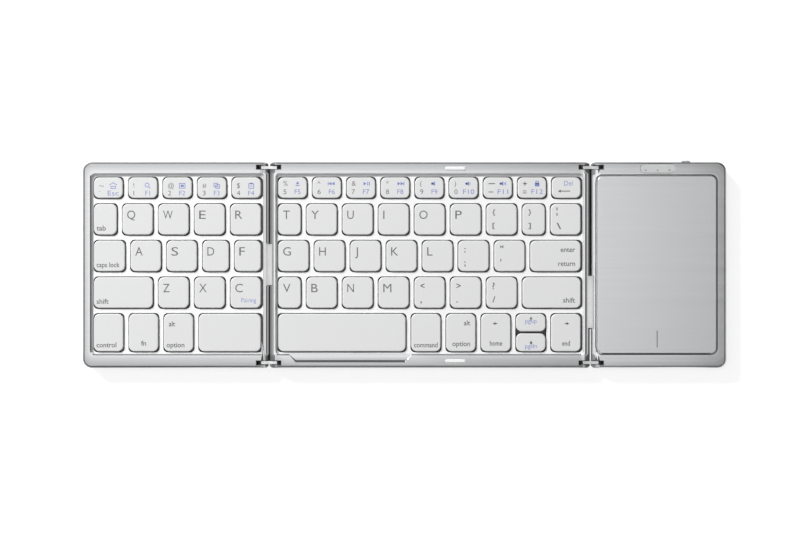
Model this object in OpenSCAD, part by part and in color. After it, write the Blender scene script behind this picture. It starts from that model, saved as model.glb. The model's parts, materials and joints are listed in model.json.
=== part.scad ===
// Pocket keyboard that folds in three. A long middle section carries most of the keys,
// the left wing carries the rest, and the right wing carries a touchpad.
// Each wing turns on two-pivot links and closes face down on the middle section.
// It is drawn open and flat: X runs along it, Y points to the number row, Z is up,
// and the origin is on the table under the centre of the footprint.

/* [Sections] */
// Thickness of each section, without its feet
section_t = 7.8; // [7.6:0.1:9]
// Rim at the left wing's outer end
left_end_rim = 4.1; // [3:0.1:7]
// Rim at the right wing's outer end
right_end_rim = 4.6; // [3.5:0.1:7]
// Rim of the left wing beside its fold
left_fold_rim = 2.05; // [1.9:0.05:2.6]
// Rim of the middle section beside the left fold
middle_left_rim = 3; // [2.4:0.1:4]
// Rim of the middle section beside the right fold
middle_right_rim = 3.4; // [2.4:0.1:4]
// Rim of the right wing beside its fold
right_fold_rim = 2; // [1.9:0.05:2.6]
// Rim behind the number row
back_rim = 5.45; // [5.3:0.05:7]
// Rim in front of the space bar
front_rim = 6.55; // [5.5:0.05:8]
// Plan radius of the wings' outer corners
corner_r = 4.3; // [2.5:0.1:6]
// Chamfer along the outer edges
edge_chamfer = 0.8; // [0.4:0.1:1.2]
// Corner radius of the key wells
well_corner_r = 1.8; // [1:0.1:3]

/* [Shells] */
// Thickness of the outer walls
wall_t = 1.5; // [1.2:0.1:1.8]
// Thickness of the floor of each bottom cover
floor_t = 1; // [0.8:0.1:1.2]
// Height of each bottom cover
cover_h = 2.6; // [2.4:0.1:2.8]
// Thickness of the top frame over its hollow rims
deck_t = 1.2; // [1.1:0.1:1.4]
// Thickness of the support ribs on the floor
rib_t = 1; // [0.6:0.1:1.6]
// Distance of the thumb notch from the left end of the middle key well
thumb_notch_x = 6.3; // [5:0.1:12]
// Length of the thumb notch at the space bar
thumb_notch_w = 58.7; // [40:0.1:62]
// Reach of the thumb notch into the front rim
thumb_notch_d = 3.3; // [2:0.1:4]
// Depth of the thumb notch below the frame's face
thumb_notch_h = 0.8; // [0.3:0.1:0.8]

/* [Keys] */
// Depth of the number row, gaps included
number_row_d = 12.95; // [12:0.05:15]
// Depth of each of the three letter rows, gaps included
letter_row_d = 17.45; // [16.5:0.05:19]
// Depth of the bottom row, gaps included
bottom_row_d = 20.7; // [19:0.1:22]
// Pitch of the letter keys
letter_pitch = 17.15; // [16.8:0.05:17.6]
// Width of the keys that the folds cut short, with its share of the gaps
narrow_key_w = 13.4; // [12.5:0.1:14.5]
// Width of the tab key with its share of the gaps
tab_key_w = 13.55; // [12:0.05:15]
// Width of the backslash key with its share of the gaps
backslash_key_w = 16.9; // [15:0.1:19]
// Width of each of the two letter keys beside the left fold, with its share of the gaps
index_key_w = 15.2; // [14.5:0.1:16]
// Pitch of the modifier and arrow keys
modifier_pitch = 16.65; // [16:0.05:17.2]
// Gap between neighbouring keycaps
key_gap = 2.2; // [2:0.1:2.4]
// Gap between the up and down arrow keys
arrow_gap = 1; // [0.8:0.1:1.4]
// Plan radius of the keycap corners
key_corner_r = 2.2; // [1.5:0.1:2.6]
// Depth of the keycap tops below the frame's face
key_recess = 0.25; // [0.15:0.05:0.5]
// Travel of a key
key_travel = 1.5; // [1.2:0.1:1.6]
// Wall of a keycap
cap_wall = 0.9; // [0.7:0.05:1.1]
// Roof of a keycap
cap_roof = 1; // [0.8:0.1:1.2]
// Radius of the stem under a keycap
stem_r = 1.2; // [0.9:0.1:1.3]
// Height of the stem under a keycap
stem_h = 0.35; // [0.2:0.05:0.5]
// Thickness of the web between the keys
web_t = 0.8; // [0.6:0.1:1]
// Overlap of the web under the frame
web_lip = 0.8; // [0.5:0.1:0.9]
// Clearance around a keycap in the web
key_clearance = 0.3; // [0.2:0.05:0.4]
// Thickness of the steel support plate
plate_t = 0.4; // [0.3:0.05:0.5]
// Thickness of the switch membrane
membrane_t = 0.25; // [0.2:0.05:0.3]
// Width of a bar of the scissor frames
scissor_bar = 0.8; // [0.6:0.05:0.9]
// Length of a scissor frame
scissor_l = 11; // [10:0.1:11]
// Depth of a scissor frame
scissor_d = 9; // [8:0.1:9]
// Wall of a rubber dome
dome_wall = 0.35; // [0.25:0.05:0.45]
// Radius of a rubber dome at its foot
dome_r = 2.3; // [1.8:0.1:2.4]

/* [Hinges] */
// Gap between two sections at their round edges
fold_gap = 0.6; // [0.5:0.05:0.8]
// Radius of the ends of a hinge link
link_r = 1.45; // [1.2:0.05:1.6]
// Thickness of a hinge link
link_t = 1.6; // [1.2:0.1:1.8]
// Distance from the keyboard's edge to the middle of a hinge link
link_inset = 2.4; // [2.3:0.05:2.7]
// Clearance around a hinge link in its pocket
link_clearance = 0.15; // [0.1:0.05:0.3]
// Radius of a hinge pin
pin_r = 0.6; // [0.5:0.05:0.7]
// Reach of a hinge pin into the walls of its pocket
pin_reach = 0.75; // [0.6:0.05:0.8]
// Radial clearance of a hinge pin in the frame
pin_clearance = 0.05; // [0.03:0.01:0.08]
// Width of the solid blocks that hold the hinge pins
hinge_block_w = 7.5; // [7.2:0.1:9]
// Width of the ribbon cable in the left fold
left_ribbon_w = 19.8; // [14:0.1:24]
// Distance of the left ribbon cable from the centre line, to the back
left_ribbon_y = 0.25; // [-4:0.05:4]
// Width of the ribbon cable in the right fold
right_ribbon_w = 25; // [16:0.1:28]
// Distance of the right ribbon cable from the centre line, to the front
right_ribbon_y = 17.7; // [10:0.1:20]
// Thickness of a ribbon cable
ribbon_t = 0.3; // [0.2:0.05:0.35]
// Thickness of the bridge bar under a ribbon cable
bridge_t = 0.7; // [0.5:0.05:0.7]

/* [Touchpad] */
// Rim behind the touchpad
touchpad_back_rim = 6.3; // [6:0.1:8]
// Rim in front of the touchpad
touchpad_front_rim = 6.6; // [5.5:0.1:8]
// Gap around the touchpad
touchpad_gap = 0.3; // [0.2:0.05:0.5]
// Thickness of the touchpad's plate
touchpad_t = 1.05; // [0.9:0.05:1.2]
// Corner radius of the touchpad
touchpad_corner_r = 3; // [2:0.1:4]
// Depth of the touchpad below the frame's face
touchpad_recess = 0.1; // [0.05:0.05:0.3]
// Travel of the touchpad's click
click_travel = 0.3; // [0.2:0.05:0.35]
// Thickness of the sensor board under the touchpad
sensor_t = 0.8; // [0.6:0.1:0.9]
// Width of the ledge under the touchpad's edge
ledge_w = 1.6; // [1.2:0.1:2]

/* [Electronics] */
// Thickness of the circuit board
board_t = 0.8; // [0.6:0.1:1]
// Depth of the circuit board, front to back
board_d = 30; // [24:0.5:34]
// Thickness of the battery
battery_t = 2.4; // [1.8:0.1:2.5]
// Depth of the battery, front to back
battery_d = 46; // [30:1:48]
// Width of the charging socket
socket_w = 7.6; // [7:0.1:9]
// Height of the charging socket
socket_h = 2.4; // [2:0.1:2.5]
// Length of the charging socket
socket_l = 5; // [4.5:0.1:5.1]
// Distance of the charging socket from the right wing's outer end
socket_x = 44.1; // [42:0.1:46]
// Width of the power button
button_w = 4.4; // [3.5:0.1:5]
// Height of the power button
button_h = 2; // [1.5:0.1:2.2]
// Height of the power button above the back edge
button_proud = 1; // [0.8:0.1:1.4]
// Travel of the power button
button_travel = 0.5; // [0.3:0.1:0.6]
// Distance of the power button from the right wing's outer end
button_x = 18.9; // [17:0.1:20]
// Length of the indicator window
window_l = 16.4; // [12:0.1:17]
// Width of the indicator window
window_w = 4.2; // [3:0.1:4.4]
// Distance of the indicator window from the right wing's outer end
window_x = 32.8; // [31:0.1:34]

/* [Feet, pads and screws] */
// Height of the rubber feet below the covers
foot_h = 0.6; // [0.4:0.1:0.8]
// Radius of a foot
foot_r = 3.5; // [2.5:0.1:4]
// Distance of a foot's centre from the edges
foot_inset = 11; // [10.5:0.5:13]
// Depth of the recess that holds a foot or a pad
seat_depth = 0.3; // [0.2:0.05:0.4]
// Length of a bumper pad
pad_l = 9.5; // [7:0.1:12]
// Width of a bumper pad
pad_w = 1.5; // [1:0.1:1.8]
// Height of a bumper pad above the frame
pad_proud = 0.3; // [0.2:0.05:0.35]
// Radius of a screw's shank
screw_r = 0.8; // [0.6:0.05:0.9]
// Radius of a screw's head
screw_head_r = 1.4; // [1.2:0.05:1.5]
// Height of a screw's head
screw_head_h = 0.7; // [0.5:0.05:0.7]
// Radius of the posts that take the screws
post_r = 1.6; // [1.4:0.1:1.7]
// Length of the magnets in the wings
magnet_l = 12; // [8:0.5:16]
// Width of the magnets in the wings
magnet_w = 2.4; // [1.5:0.1:2.5]
// Height of the magnets in the wings
magnet_h = 2; // [1:0.1:2.5]

/* [Hidden] */
$fn = 48;

// Small clearance between parts that are laid beside each other
fit = 0.15;
// Overshoot of cutting shapes
over = 1;

// Plan sizes. Folded in, the two wings cover the middle and meet with one fold gap between them.
left_well_w = tab_key_w + 4 * letter_pitch;
middle_well_w = 2 * narrow_key_w + 6 * letter_pitch + backslash_key_w;
left_w = left_end_rim + left_well_w + left_fold_rim;
middle_w = middle_left_rim + middle_well_w + middle_right_rim;
right_w = middle_w - left_w - fold_gap;
total_w = left_w + middle_w + right_w + 2 * fold_gap;
well_d = number_row_d + 3 * letter_row_d + bottom_row_d;
depth = front_rim + well_d + back_rim;

left_x0 = -total_w / 2;
left_x1 = left_x0 + left_w;
middle_x0 = left_x1 + fold_gap;
middle_x1 = middle_x0 + middle_w;
right_x0 = middle_x1 + fold_gap;
right_x1 = right_x0 + right_w;
left_fold_x = left_x1 + fold_gap / 2;
right_fold_x = right_x0 - fold_gap / 2;

y_front = -depth / 2;
y_back = depth / 2;
well_y0 = y_front + front_rim;
well_y1 = y_back - back_rim;
left_well_x0 = left_x0 + left_end_rim;
left_well_x1 = left_well_x0 + left_well_w;
middle_well_x0 = middle_x0 + middle_left_rim;
middle_well_x1 = middle_well_x0 + middle_well_w;
pad_well_x0 = right_x0 + right_fold_rim;
pad_well_x1 = right_x1 - right_end_rim;
pad_well_y0 = y_front + touchpad_front_rim;
pad_well_y1 = y_back - touchpad_back_rim;

// Heights
z_base = foot_h;
z_top = foot_h + section_t;
nose_r = section_t / 2;
z_axis = foot_h + nose_r;
z_floor = z_base + floor_t;
z_split = z_base + cover_h;
z_plate = z_split + plate_t;
z_membrane = z_plate + membrane_t;
z_deck = z_top - deck_t;
z_web = z_deck - web_t;
z_cap = z_top - key_recess;
z_roof = z_cap - cap_roof;
z_skirt = z_membrane + key_travel + 0.2;
z_stem = z_roof - stem_h;

// Hinges
pivot_offset = nose_r + fold_gap / 2;
link_y = y_back - link_inset;
pocket_r = link_r + link_clearance;
pocket_w = link_t + 2 * link_clearance;
pin_l = pocket_w + 2 * pin_reach;
// Half the width that stays free between the round edges, at a height below the hinge line
function valley(below) = pivot_offset - sqrt(pow(nose_r + 0.07, 2) - pow(below, 2));
ribbon_drop = nose_r - 1.15;
bridge_half_w = min(valley(ribbon_drop), pivot_offset - 2);
notch_half_w = bridge_half_w + 0.2;
stalk_half_w = valley(link_r);
// Where a ribbon's tail turns up beside the well's edge, and the room it has there
riser_x = 1;
riser_room = 2.2;
z_ribbon = z_axis - ribbon_drop - ribbon_t;
z_bridge = z_ribbon - bridge_t;

// Touchpad
z_touchpad = z_top - touchpad_recess;
z_sensor = z_touchpad - touchpad_t;
z_ledge = z_sensor - click_travel - 0.1;
ledge_t = 0.8;

// Screw places, in the rims and clear of the hinge blocks
screw_y = y_back - wall_t - post_r + 0.4;
screw_inset = 6;
screw_fold_inset = hinge_block_w + 5;
left_screw_x = [left_x0 + screw_inset, left_x1 - screw_fold_inset];
middle_screw_x = [middle_x0 + screw_fold_inset, (middle_x0 + middle_x1) / 2,
                  middle_x1 - screw_fold_inset];
right_screw_x = [right_x0 + screw_fold_inset, right_x1 - screw_inset];

// Electronics
wing_cx = (right_x0 + right_x1) / 2;
board_x0 = right_x0 + hinge_block_w + 0.4;
board_x1 = right_x1 - wall_t - 0.4;
board_y1 = screw_y - post_r - 0.2;
board_y0 = board_y1 - board_d;
board_tail_x = pad_well_x0 + ledge_w;
z_board = z_split + board_t;
button_cx = right_x1 - button_x;
socket_cx = right_x1 - socket_x;
window_cx = right_x1 - window_x;
window_y = y_back - (touchpad_back_rim - 0.2) / 2;
flange_t = 0.6;
flange_over = 1;
flange_y = y_back - wall_t - 0.05;
chip_h = 0.9;
z_window = z_deck + 0.45;

// Key rows, from the back to the front. One key of each row takes up what is left of the well.
left_rows = [
    [for (i = [0:4]) left_well_w / 5],
    [tab_key_w, for (i = [0:3]) letter_pitch],
    [left_well_w - 2 * letter_pitch - 2 * index_key_w, letter_pitch, letter_pitch,
     index_key_w, index_key_w],
    [left_well_w - 3 * letter_pitch, for (i = [0:2]) letter_pitch],
    [for (i = [0:2]) modifier_pitch, left_well_w - 3 * modifier_pitch]];
middle_rows = [
    [for (i = [0:8]) middle_well_w / 9],
    [narrow_key_w, for (i = [0:5]) letter_pitch, narrow_key_w, backslash_key_w],
    [for (i = [0:6]) letter_pitch, middle_well_w - 7 * letter_pitch],
    [narrow_key_w, for (i = [0:5]) letter_pitch, middle_well_w - 6 * letter_pitch - narrow_key_w],
    [middle_well_w - 5 * modifier_pitch, for (i = [0:4]) modifier_pitch]];
row_depths = [number_row_d, letter_row_d, letter_row_d, letter_row_d, bottom_row_d];
arrow_pair = 4;

function sum_to(list, n) = n == 0 ? 0 : list[n - 1] + sum_to(list, n - 1);
// A key is [centre x, centre y, width, depth] of its cap
function key_at(well_x, rows, r, i) = [
    well_x + sum_to(rows[r], i) + rows[r][i] / 2,
    well_y1 - sum_to(row_depths, r) - row_depths[r] / 2,
    rows[r][i] - key_gap,
    row_depths[r] - key_gap];
function left_key(r, i) = key_at(left_well_x0, left_rows, r, i);
function middle_key(r, i) = key_at(middle_well_x0, middle_rows, r, i);
function half_key(k, side) = [
    k[0], k[1] + side * (k[3] + arrow_gap) / 4, k[2], (k[3] - arrow_gap) / 2];
function is_arrow_pair(r, i) = r == 4 && i == arrow_pair;

left_keys = [for (r = [0:4]) for (i = [0:len(left_rows[r]) - 1]) left_key(r, i)];
middle_cells = [for (r = [0:4]) for (i = [0:len(middle_rows[r]) - 1]) middle_key(r, i)];
up_key = half_key(middle_key(4, arrow_pair), 1);
down_key = half_key(middle_key(4, arrow_pair), -1);
middle_keys = concat(
    [for (r = [0:4]) for (i = [0:len(middle_rows[r]) - 1]) if (!is_arrow_pair(r, i)) middle_key(r, i)],
    [up_key, down_key]);

silver = [0.80, 0.81, 0.82];
white = [0.93, 0.93, 0.93];
steel = [0.62, 0.63, 0.65];
black = [0.10, 0.10, 0.11];

// Basic shapes

module rounded_plate(x0, y0, x1, y1, r, z0, z1)
{
    translate([x0, y0, z0])
        linear_extrude(z1 - z0) {
            translate([r, 0]) square([x1 - x0 - 2 * r, y1 - y0]);
            translate([0, r]) square([x1 - x0, y1 - y0 - 2 * r]);
            for (x = [r, x1 - x0 - r], y = [r, y1 - y0 - r])
                translate([x, y]) circle(r);
        }
}

module block(x0, y0, z0, x1, y1, z1)
{
    translate([x0, y0, z0]) cube([x1 - x0, y1 - y0, z1 - z0]);
}

module y_rod(x, y, z, r, length)
{
    translate([x, y, z]) rotate([90, 0, 0]) cylinder(h = length, r = r, center = true);
}

module post(x, y, z0, z1, r)
{
    translate([x, y, z0]) cylinder(h = z1 - z0, r = r);
}

// Sections

// Straight stretch of a section, chamfered along its front and back edges
module straight_run(x0, x1)
{
    c = edge_chamfer;
    translate([x0, 0, 0]) rotate([90, 0, 90]) linear_extrude(x1 - x0)
        polygon([[y_front + c, z_base], [y_back - c, z_base], [y_back, z_base + c],
                 [y_back, z_top - c], [y_back - c, z_top], [y_front + c, z_top],
                 [y_front, z_top - c], [y_front, z_base + c]]);
}

// Full round edge of a section at a fold, turned about its hinge line
module round_edge(x)
{
    h = depth / 2;
    r = nose_r;
    c = edge_chamfer;
    translate([x, 0, z_axis]) rotate([90, 0, 0]) rotate_extrude()
        polygon([[0, -h], [r - c, -h], [r, c - h], [r, h - c], [r - c, h], [0, h]]);
}

// Outer end of a wing. The side is -1 for a left end and 1 for a right end.
module wing_end(x, side)
{
    c = edge_chamfer;
    r = corner_r;
    translate([x - side * r, 0, 0]) {
        rotate([90, 0, 0]) linear_extrude(depth - 2 * r, center = true)
            polygon([[0, z_base], [side * (r - c), z_base], [side * r, z_base + c],
                     [side * r, z_top - c], [side * (r - c), z_top], [0, z_top]]);
        for (y = [y_front + r, y_back - r])
            translate([0, y, 0]) rotate_extrude()
                polygon([[0, z_base], [r - c, z_base], [r, z_base + c], [r, z_top - c],
                         [r - c, z_top], [0, z_top]]);
    }
}

module middle_envelope()
{
    straight_run(middle_x0 + nose_r, middle_x1 - nose_r);
    round_edge(middle_x0 + nose_r);
    round_edge(middle_x1 - nose_r);
}

module left_envelope()
{
    straight_run(left_x0 + corner_r, left_x1 - nose_r);
    wing_end(left_x0, -1);
    round_edge(left_x1 - nose_r);
}

module right_envelope()
{
    straight_run(right_x0 + nose_r, right_x1 - corner_r);
    round_edge(right_x0 + nose_r);
    wing_end(right_x1, 1);
}

// Keeps the part of a section above the split, for a top frame
module above_split()
{
    intersection() {
        children();
        block(left_x0 - over, y_front - over, z_split, right_x1 + over, y_back + over, z_top + over);
    }
}

// Keeps the part of a section below the split, for a bottom cover
module below_split()
{
    intersection() {
        children();
        block(left_x0 - over, y_front - over, 0, right_x1 + over, y_back + over, z_split);
    }
}

// Room for one hinge link in a section, from its pivot out past the fold and up
module link_pocket(fold_x, side, y)
{
    far = side * (pivot_offset + pocket_r);
    block(fold_x + min(0, far), y - pocket_w / 2, z_axis - pocket_r,
          fold_x + max(0, far), y + pocket_w / 2, z_top + over);
    y_rod(fold_x + side * pivot_offset, y, z_axis, pin_r + pin_clearance, pin_l + 0.2);
}

// Cuts for both hinge links and the ribbon cable of one fold. The side is where the section lies.
module fold_cuts(fold_x, side, ribbon_y, ribbon_w)
{
    for (y = [-link_y, link_y])
        link_pocket(fold_x, side, y);
    block(fold_x - notch_half_w, ribbon_y - ribbon_w / 2 - 0.2, 0,
          fold_x + notch_half_w, ribbon_y + ribbon_w / 2 + 0.2, z_top + over);
}

module left_fold_cuts(side)
{
    fold_cuts(left_fold_x, side, left_ribbon_y, left_ribbon_w);
}

module right_fold_cuts(side)
{
    fold_cuts(right_fold_x, side, -right_ribbon_y, right_ribbon_w);
}

module screw_posts(places, z0, z1, r)
{
    for (x = places, y = [-screw_y, screw_y])
        post(x, y, z0, z1, r);
}

module foot_places(x0, x1)
{
    for (x = [x0 + foot_inset, x1 - foot_inset], y = [y_front + foot_inset, y_back - foot_inset])
        translate([x, y, 0]) children();
}

// Top frame of a key section, hollow under its rims and with posts for the screws
module key_frame(well_x0, well_x1, hollow_x0, hollow_x1, screws)
{
    difference() {
        above_split() children();
        rounded_plate(well_x0, well_y0, well_x1, well_y1, well_corner_r, 0, z_top + over);
        difference() {
            block(hollow_x0, y_front + wall_t, 0, hollow_x1, y_back - wall_t, z_deck);
            screw_posts(screws, z_split, z_deck, post_r);
        }
        screw_posts(screws, 0, z_deck - 0.6, screw_r + 0.02);
    }
}

// Bottom cover: a shallow tray with ribs for the support plate
module cover(x0, x1, tray_x0, tray_x1, hollow_x0, hollow_x1, screws)
{
    difference() {
        below_split() children();
        difference() {
            union() {
                block(tray_x0, well_y0, z_floor, tray_x1, well_y1, z_top);
                block(hollow_x0, y_front + wall_t, z_floor, hollow_x1, y_back - wall_t, z_top);
            }
            screw_posts(screws, z_base, z_split, screw_head_r + 1);
            cover_ribs(tray_x0, tray_x1);
        }
        screw_posts(screws, 0, z_top, screw_r + 0.1);
        screw_posts(screws, 0, z_base + screw_head_h + 0.1, screw_head_r + 0.1);
        foot_places(x0, x1) post(0, 0, 0, z_base + seat_depth, foot_r + 0.05);
    }
}

// Ribs run front to back at even steps, clear of the ribbon tails at the folds
module cover_ribs(x0, x1)
{
    count = max(2, round((x1 - x0) / 26));
    step = (x1 - x0) / (count + 1);
    for (i = [1:count])
        block(x0 + i * step - rib_t / 2, well_y0, z_base, x0 + i * step + rib_t / 2, well_y1, z_split);
}

// Sections' covers and frames

module middle_bottom_cover()
{
    color(silver) difference() {
        cover(middle_x0, middle_x1, middle_well_x0, middle_well_x1, middle_x0 + hinge_block_w,
              middle_x1 - hinge_block_w, middle_screw_x) middle_envelope();
        left_fold_cuts(1);
        right_fold_cuts(-1);
        ribbon_slot(left_fold_x, 1, left_ribbon_y, left_ribbon_w);
        ribbon_slot(right_fold_x, -1, -right_ribbon_y, right_ribbon_w);
    }
}

module middle_top_frame()
{
    color(silver) difference() {
        key_frame(middle_well_x0, middle_well_x1, middle_x0 + hinge_block_w,
                  middle_x1 - hinge_block_w, middle_screw_x) middle_envelope();
        left_fold_cuts(1);
        right_fold_cuts(-1);
        thumb_notch();
        pad_places() pad_shape(0.05, z_top - seat_depth);
    }
}

module left_bottom_cover()
{
    color(silver) difference() {
        cover(left_x0, left_x1, left_x0 + wall_t, left_well_x1, left_x0 + wall_t,
              left_x1 - hinge_block_w, left_screw_x) left_envelope();
        left_fold_cuts(-1);
        ribbon_slot(left_fold_x, -1, left_ribbon_y, left_ribbon_w);
    }
}

module left_top_frame()
{
    color(silver) difference() {
        key_frame(left_well_x0, left_well_x1, left_x0 + wall_t, left_x1 - hinge_block_w,
                  left_screw_x) left_envelope();
        left_fold_cuts(-1);
    }
}

module right_bottom_cover()
{
    color(silver) difference() {
        cover(right_x0, right_x1, pad_well_x0, right_x1 - wall_t, right_x0 + hinge_block_w,
              right_x1 - wall_t, right_screw_x) right_envelope();
        right_fold_cuts(1);
        ribbon_slot(right_fold_x, 1, -right_ribbon_y, right_ribbon_w);
    }
}

module right_top_frame()
{
    hollow_x0 = right_x0 + hinge_block_w;
    hollow_x1 = right_x1 - wall_t;
    color(silver) difference() {
        above_split() right_envelope();
        rounded_plate(pad_well_x0, pad_well_y0, pad_well_x1, pad_well_y1, touchpad_corner_r,
                      z_ledge, z_top + over);
        block(pad_well_x0 + ledge_w, pad_well_y0 + ledge_w, 0, pad_well_x1 - ledge_w,
              pad_well_y1 - ledge_w, z_top);
        difference() {
            union() {
                block(hollow_x0, y_front + wall_t, 0, hollow_x1, y_back - wall_t, z_ledge - ledge_t);
                block(hollow_x0, pad_well_y1 + ledge_t, 0, hollow_x1, y_back - wall_t, z_deck);
            }
            screw_posts(right_screw_x, z_split, z_deck, post_r);
        }
        screw_posts(right_screw_x, 0, z_ledge - ledge_t - 0.4, screw_r + 0.02);
        right_fold_cuts(1);
        window_shape(0.05, z_window, z_top + over);
        window_lights(z_split, z_top, 0.5);
        button_slot();
        socket_slot();
    }
}

module thumb_notch()
{
    d = thumb_notch_d;
    translate([middle_well_x0 + thumb_notch_x, well_y0, z_top - thumb_notch_h])
        linear_extrude(thumb_notch_h + over)
            polygon([[0, over], [0, 0], [d, -d], [thumb_notch_w - d, -d], [thumb_notch_w, 0],
                     [thumb_notch_w, over]]);
}

// Keys

module keycap(k)
{
    x0 = k[0] - k[2] / 2;
    y0 = k[1] - k[3] / 2;
    x1 = x0 + k[2];
    y1 = y0 + k[3];
    w = cap_wall;
    difference() {
        rounded_plate(x0, y0, x1, y1, key_corner_r, z_skirt, z_cap);
        rounded_plate(x0 + w, y0 + w, x1 - w, y1 - w, key_corner_r - w, z_skirt - over, z_roof);
    }
    post(k[0], k[1], z_stem, z_roof, stem_r);
}

module keycaps(keys)
{
    color(white) for (k = keys) keycap(k);
}

module key_openings(keys)
{
    e = key_clearance;
    for (k = keys)
        rounded_plate(k[0] - k[2] / 2 - e, k[1] - k[3] / 2 - e, k[0] + k[2] / 2 + e,
                      k[1] + k[3] / 2 + e, key_corner_r, z_web - over, z_top);
}

// Web between the keys. Its lips lie under the frame, except beside the hinge blocks.
module key_web(x0, x1, lip_x0, lip_x1, keys)
{
    color(white) difference() {
        union() {
            rounded_plate(x0, well_y0 + fit, x1, well_y1 - fit, well_corner_r, z_web, z_deck);
            block(lip_x0, well_y0 - web_lip, z_web, lip_x1, well_y1 + web_lip, z_deck);
        }
        key_openings(keys);
    }
}

module middle_key_web()
{
    key_web(middle_well_x0 + fit, middle_well_x1 - fit, middle_x0 + hinge_block_w + fit,
            middle_x1 - hinge_block_w - fit, middle_cells);
}

module left_key_web()
{
    key_web(left_well_x0 + fit, left_well_x1 - fit, left_well_x0 - web_lip,
            left_x1 - hinge_block_w - fit, left_keys);
}

module left_number_keys() { keycaps([for (i = [0:4]) left_key(0, i)]); }
module tab_key() { keycaps([left_key(1, 0)]); }
module left_top_row_keys() { keycaps([for (i = [1:4]) left_key(1, i)]); }
module left_home_row_keys() { keycaps([for (i = [0:4]) left_key(2, i)]); }
module left_shift_key() { keycaps([left_key(3, 0)]); }
module left_lower_row_keys() { keycaps([for (i = [1:3]) left_key(3, i)]); }
module left_modifier_keys() { keycaps([for (i = [0:2]) left_key(4, i)]); }
module left_space_key() { keycaps([left_key(4, 3)]); }
module middle_number_keys() { keycaps([for (i = [0:8]) middle_key(0, i)]); }
module middle_top_row_keys() { keycaps([for (i = [0:8]) middle_key(1, i)]); }
module middle_home_row_keys() { keycaps([for (i = [0:6]) middle_key(2, i)]); }
module enter_key() { keycaps([middle_key(2, 7)]); }
module middle_lower_row_keys() { keycaps([for (i = [0:6]) middle_key(3, i)]); }
module right_shift_key() { keycaps([middle_key(3, 7)]); }
module space_bar() { keycaps([middle_key(4, 0)]); }
module middle_modifier_keys() { keycaps([for (i = [1:2]) middle_key(4, i)]); }
module left_arrow_key() { keycaps([middle_key(4, 3)]); }
module up_arrow_key() { keycaps([up_key]); }
module down_arrow_key() { keycaps([down_key]); }
module right_arrow_key() { keycaps([middle_key(4, 5)]); }

// Switch layers

// Outline of the support plate and the membrane
module layer(x0, x1, z0, z1)
{
    rounded_plate(x0, well_y0 + fit, x1, well_y1 - fit, well_corner_r, z0, z1);
}

module riser_cut(edge_x, side, ribbon_y, ribbon_w)
{
    block(edge_x + min(-over, side * riser_room), ribbon_y - ribbon_w / 2 - 0.4, z_base,
          edge_x + max(over, side * riser_room), ribbon_y + ribbon_w / 2 + 0.4, z_plate);
}

module middle_support_plate()
{
    color(steel) difference() {
        layer(middle_well_x0 + fit, middle_well_x1 - fit, z_split, z_plate);
        riser_cut(middle_well_x0, 1, left_ribbon_y, left_ribbon_w);
        riser_cut(middle_well_x1, -1, -right_ribbon_y, right_ribbon_w);
    }
}

module left_support_plate()
{
    color(steel) difference() {
        layer(left_well_x0 + fit, left_well_x1 - fit, z_split, z_plate);
        riser_cut(left_well_x1, -1, left_ribbon_y, left_ribbon_w);
    }
}

// Tail of a membrane or board: from the fold's notch through the cover's wall, then up
module ribbon_tail(fold_x, side, edge_x, ribbon_y, ribbon_w, z_end)
{
    start = fold_x + side * (notch_half_w + 0.05);
    riser = edge_x + side * riser_x;
    block(min(start, riser), ribbon_y - ribbon_w / 2, z_floor + 0.02,
          max(start, riser), ribbon_y + ribbon_w / 2, z_floor + 0.02 + ribbon_t);
    block(min(riser, riser + side * ribbon_t), ribbon_y - ribbon_w / 2, z_floor + 0.02,
          max(riser, riser + side * ribbon_t), ribbon_y + ribbon_w / 2, z_end);
}

module ribbon_slot(fold_x, side, ribbon_y, ribbon_w)
{
    reach = side * (pivot_offset + 1);
    block(fold_x + min(0, reach), ribbon_y - ribbon_w / 2 - 0.1, z_floor,
          fold_x + max(0, reach), ribbon_y + ribbon_w / 2 + 0.1, z_floor + ribbon_t + 0.1);
}

module middle_membrane()
{
    color(black) {
        layer(middle_well_x0 + fit, middle_well_x1 - fit, z_plate, z_membrane);
        ribbon_tail(left_fold_x, 1, middle_well_x0, left_ribbon_y, left_ribbon_w, z_membrane);
        ribbon_tail(right_fold_x, -1, middle_well_x1, -right_ribbon_y, right_ribbon_w, z_membrane);
    }
}

module left_membrane()
{
    color(black) {
        layer(left_well_x0 + fit, left_well_x1 - fit, z_plate, z_membrane);
        ribbon_tail(left_fold_x, -1, left_well_x1, left_ribbon_y, left_ribbon_w, z_membrane);
    }
}

// Room inside a keycap decides how deep its scissor frame can be
function frame_d(k) = min(scissor_d, k[3] - 2 * cap_wall - 1);
function frame_l(k) = min(scissor_l, k[2] - 2 * cap_wall - 1);
function foot_radius(k) = min(dome_r, frame_d(k) / 2 - 2 * scissor_bar - 0.45);

module dome(k)
{
    r = foot_radius(k);
    top_r = r * 0.6;
    z_dome = z_stem - 0.05;
    w = dome_wall;
    translate([k[0], k[1], 0]) rotate_extrude()
        polygon([[r - w, z_membrane], [r, z_membrane], [top_r, z_dome], [0, z_dome],
                 [0, z_dome - w], [top_r - w, z_dome - w]]);
}

module domes(keys)
{
    color(white) for (k = keys) dome(k);
}

module middle_domes() { domes(middle_keys); }
module left_domes() { domes(left_keys); }

// One half of a scissor, a thin ring that leans about its middle
module leaning_ring(length, width, lean)
{
    b = scissor_bar;
    rotate([0, lean, 0]) linear_extrude(0.7, center = true) difference() {
        square([length, width], center = true);
        square([length - 2 * b, width - 2 * b], center = true);
    }
}

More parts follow.
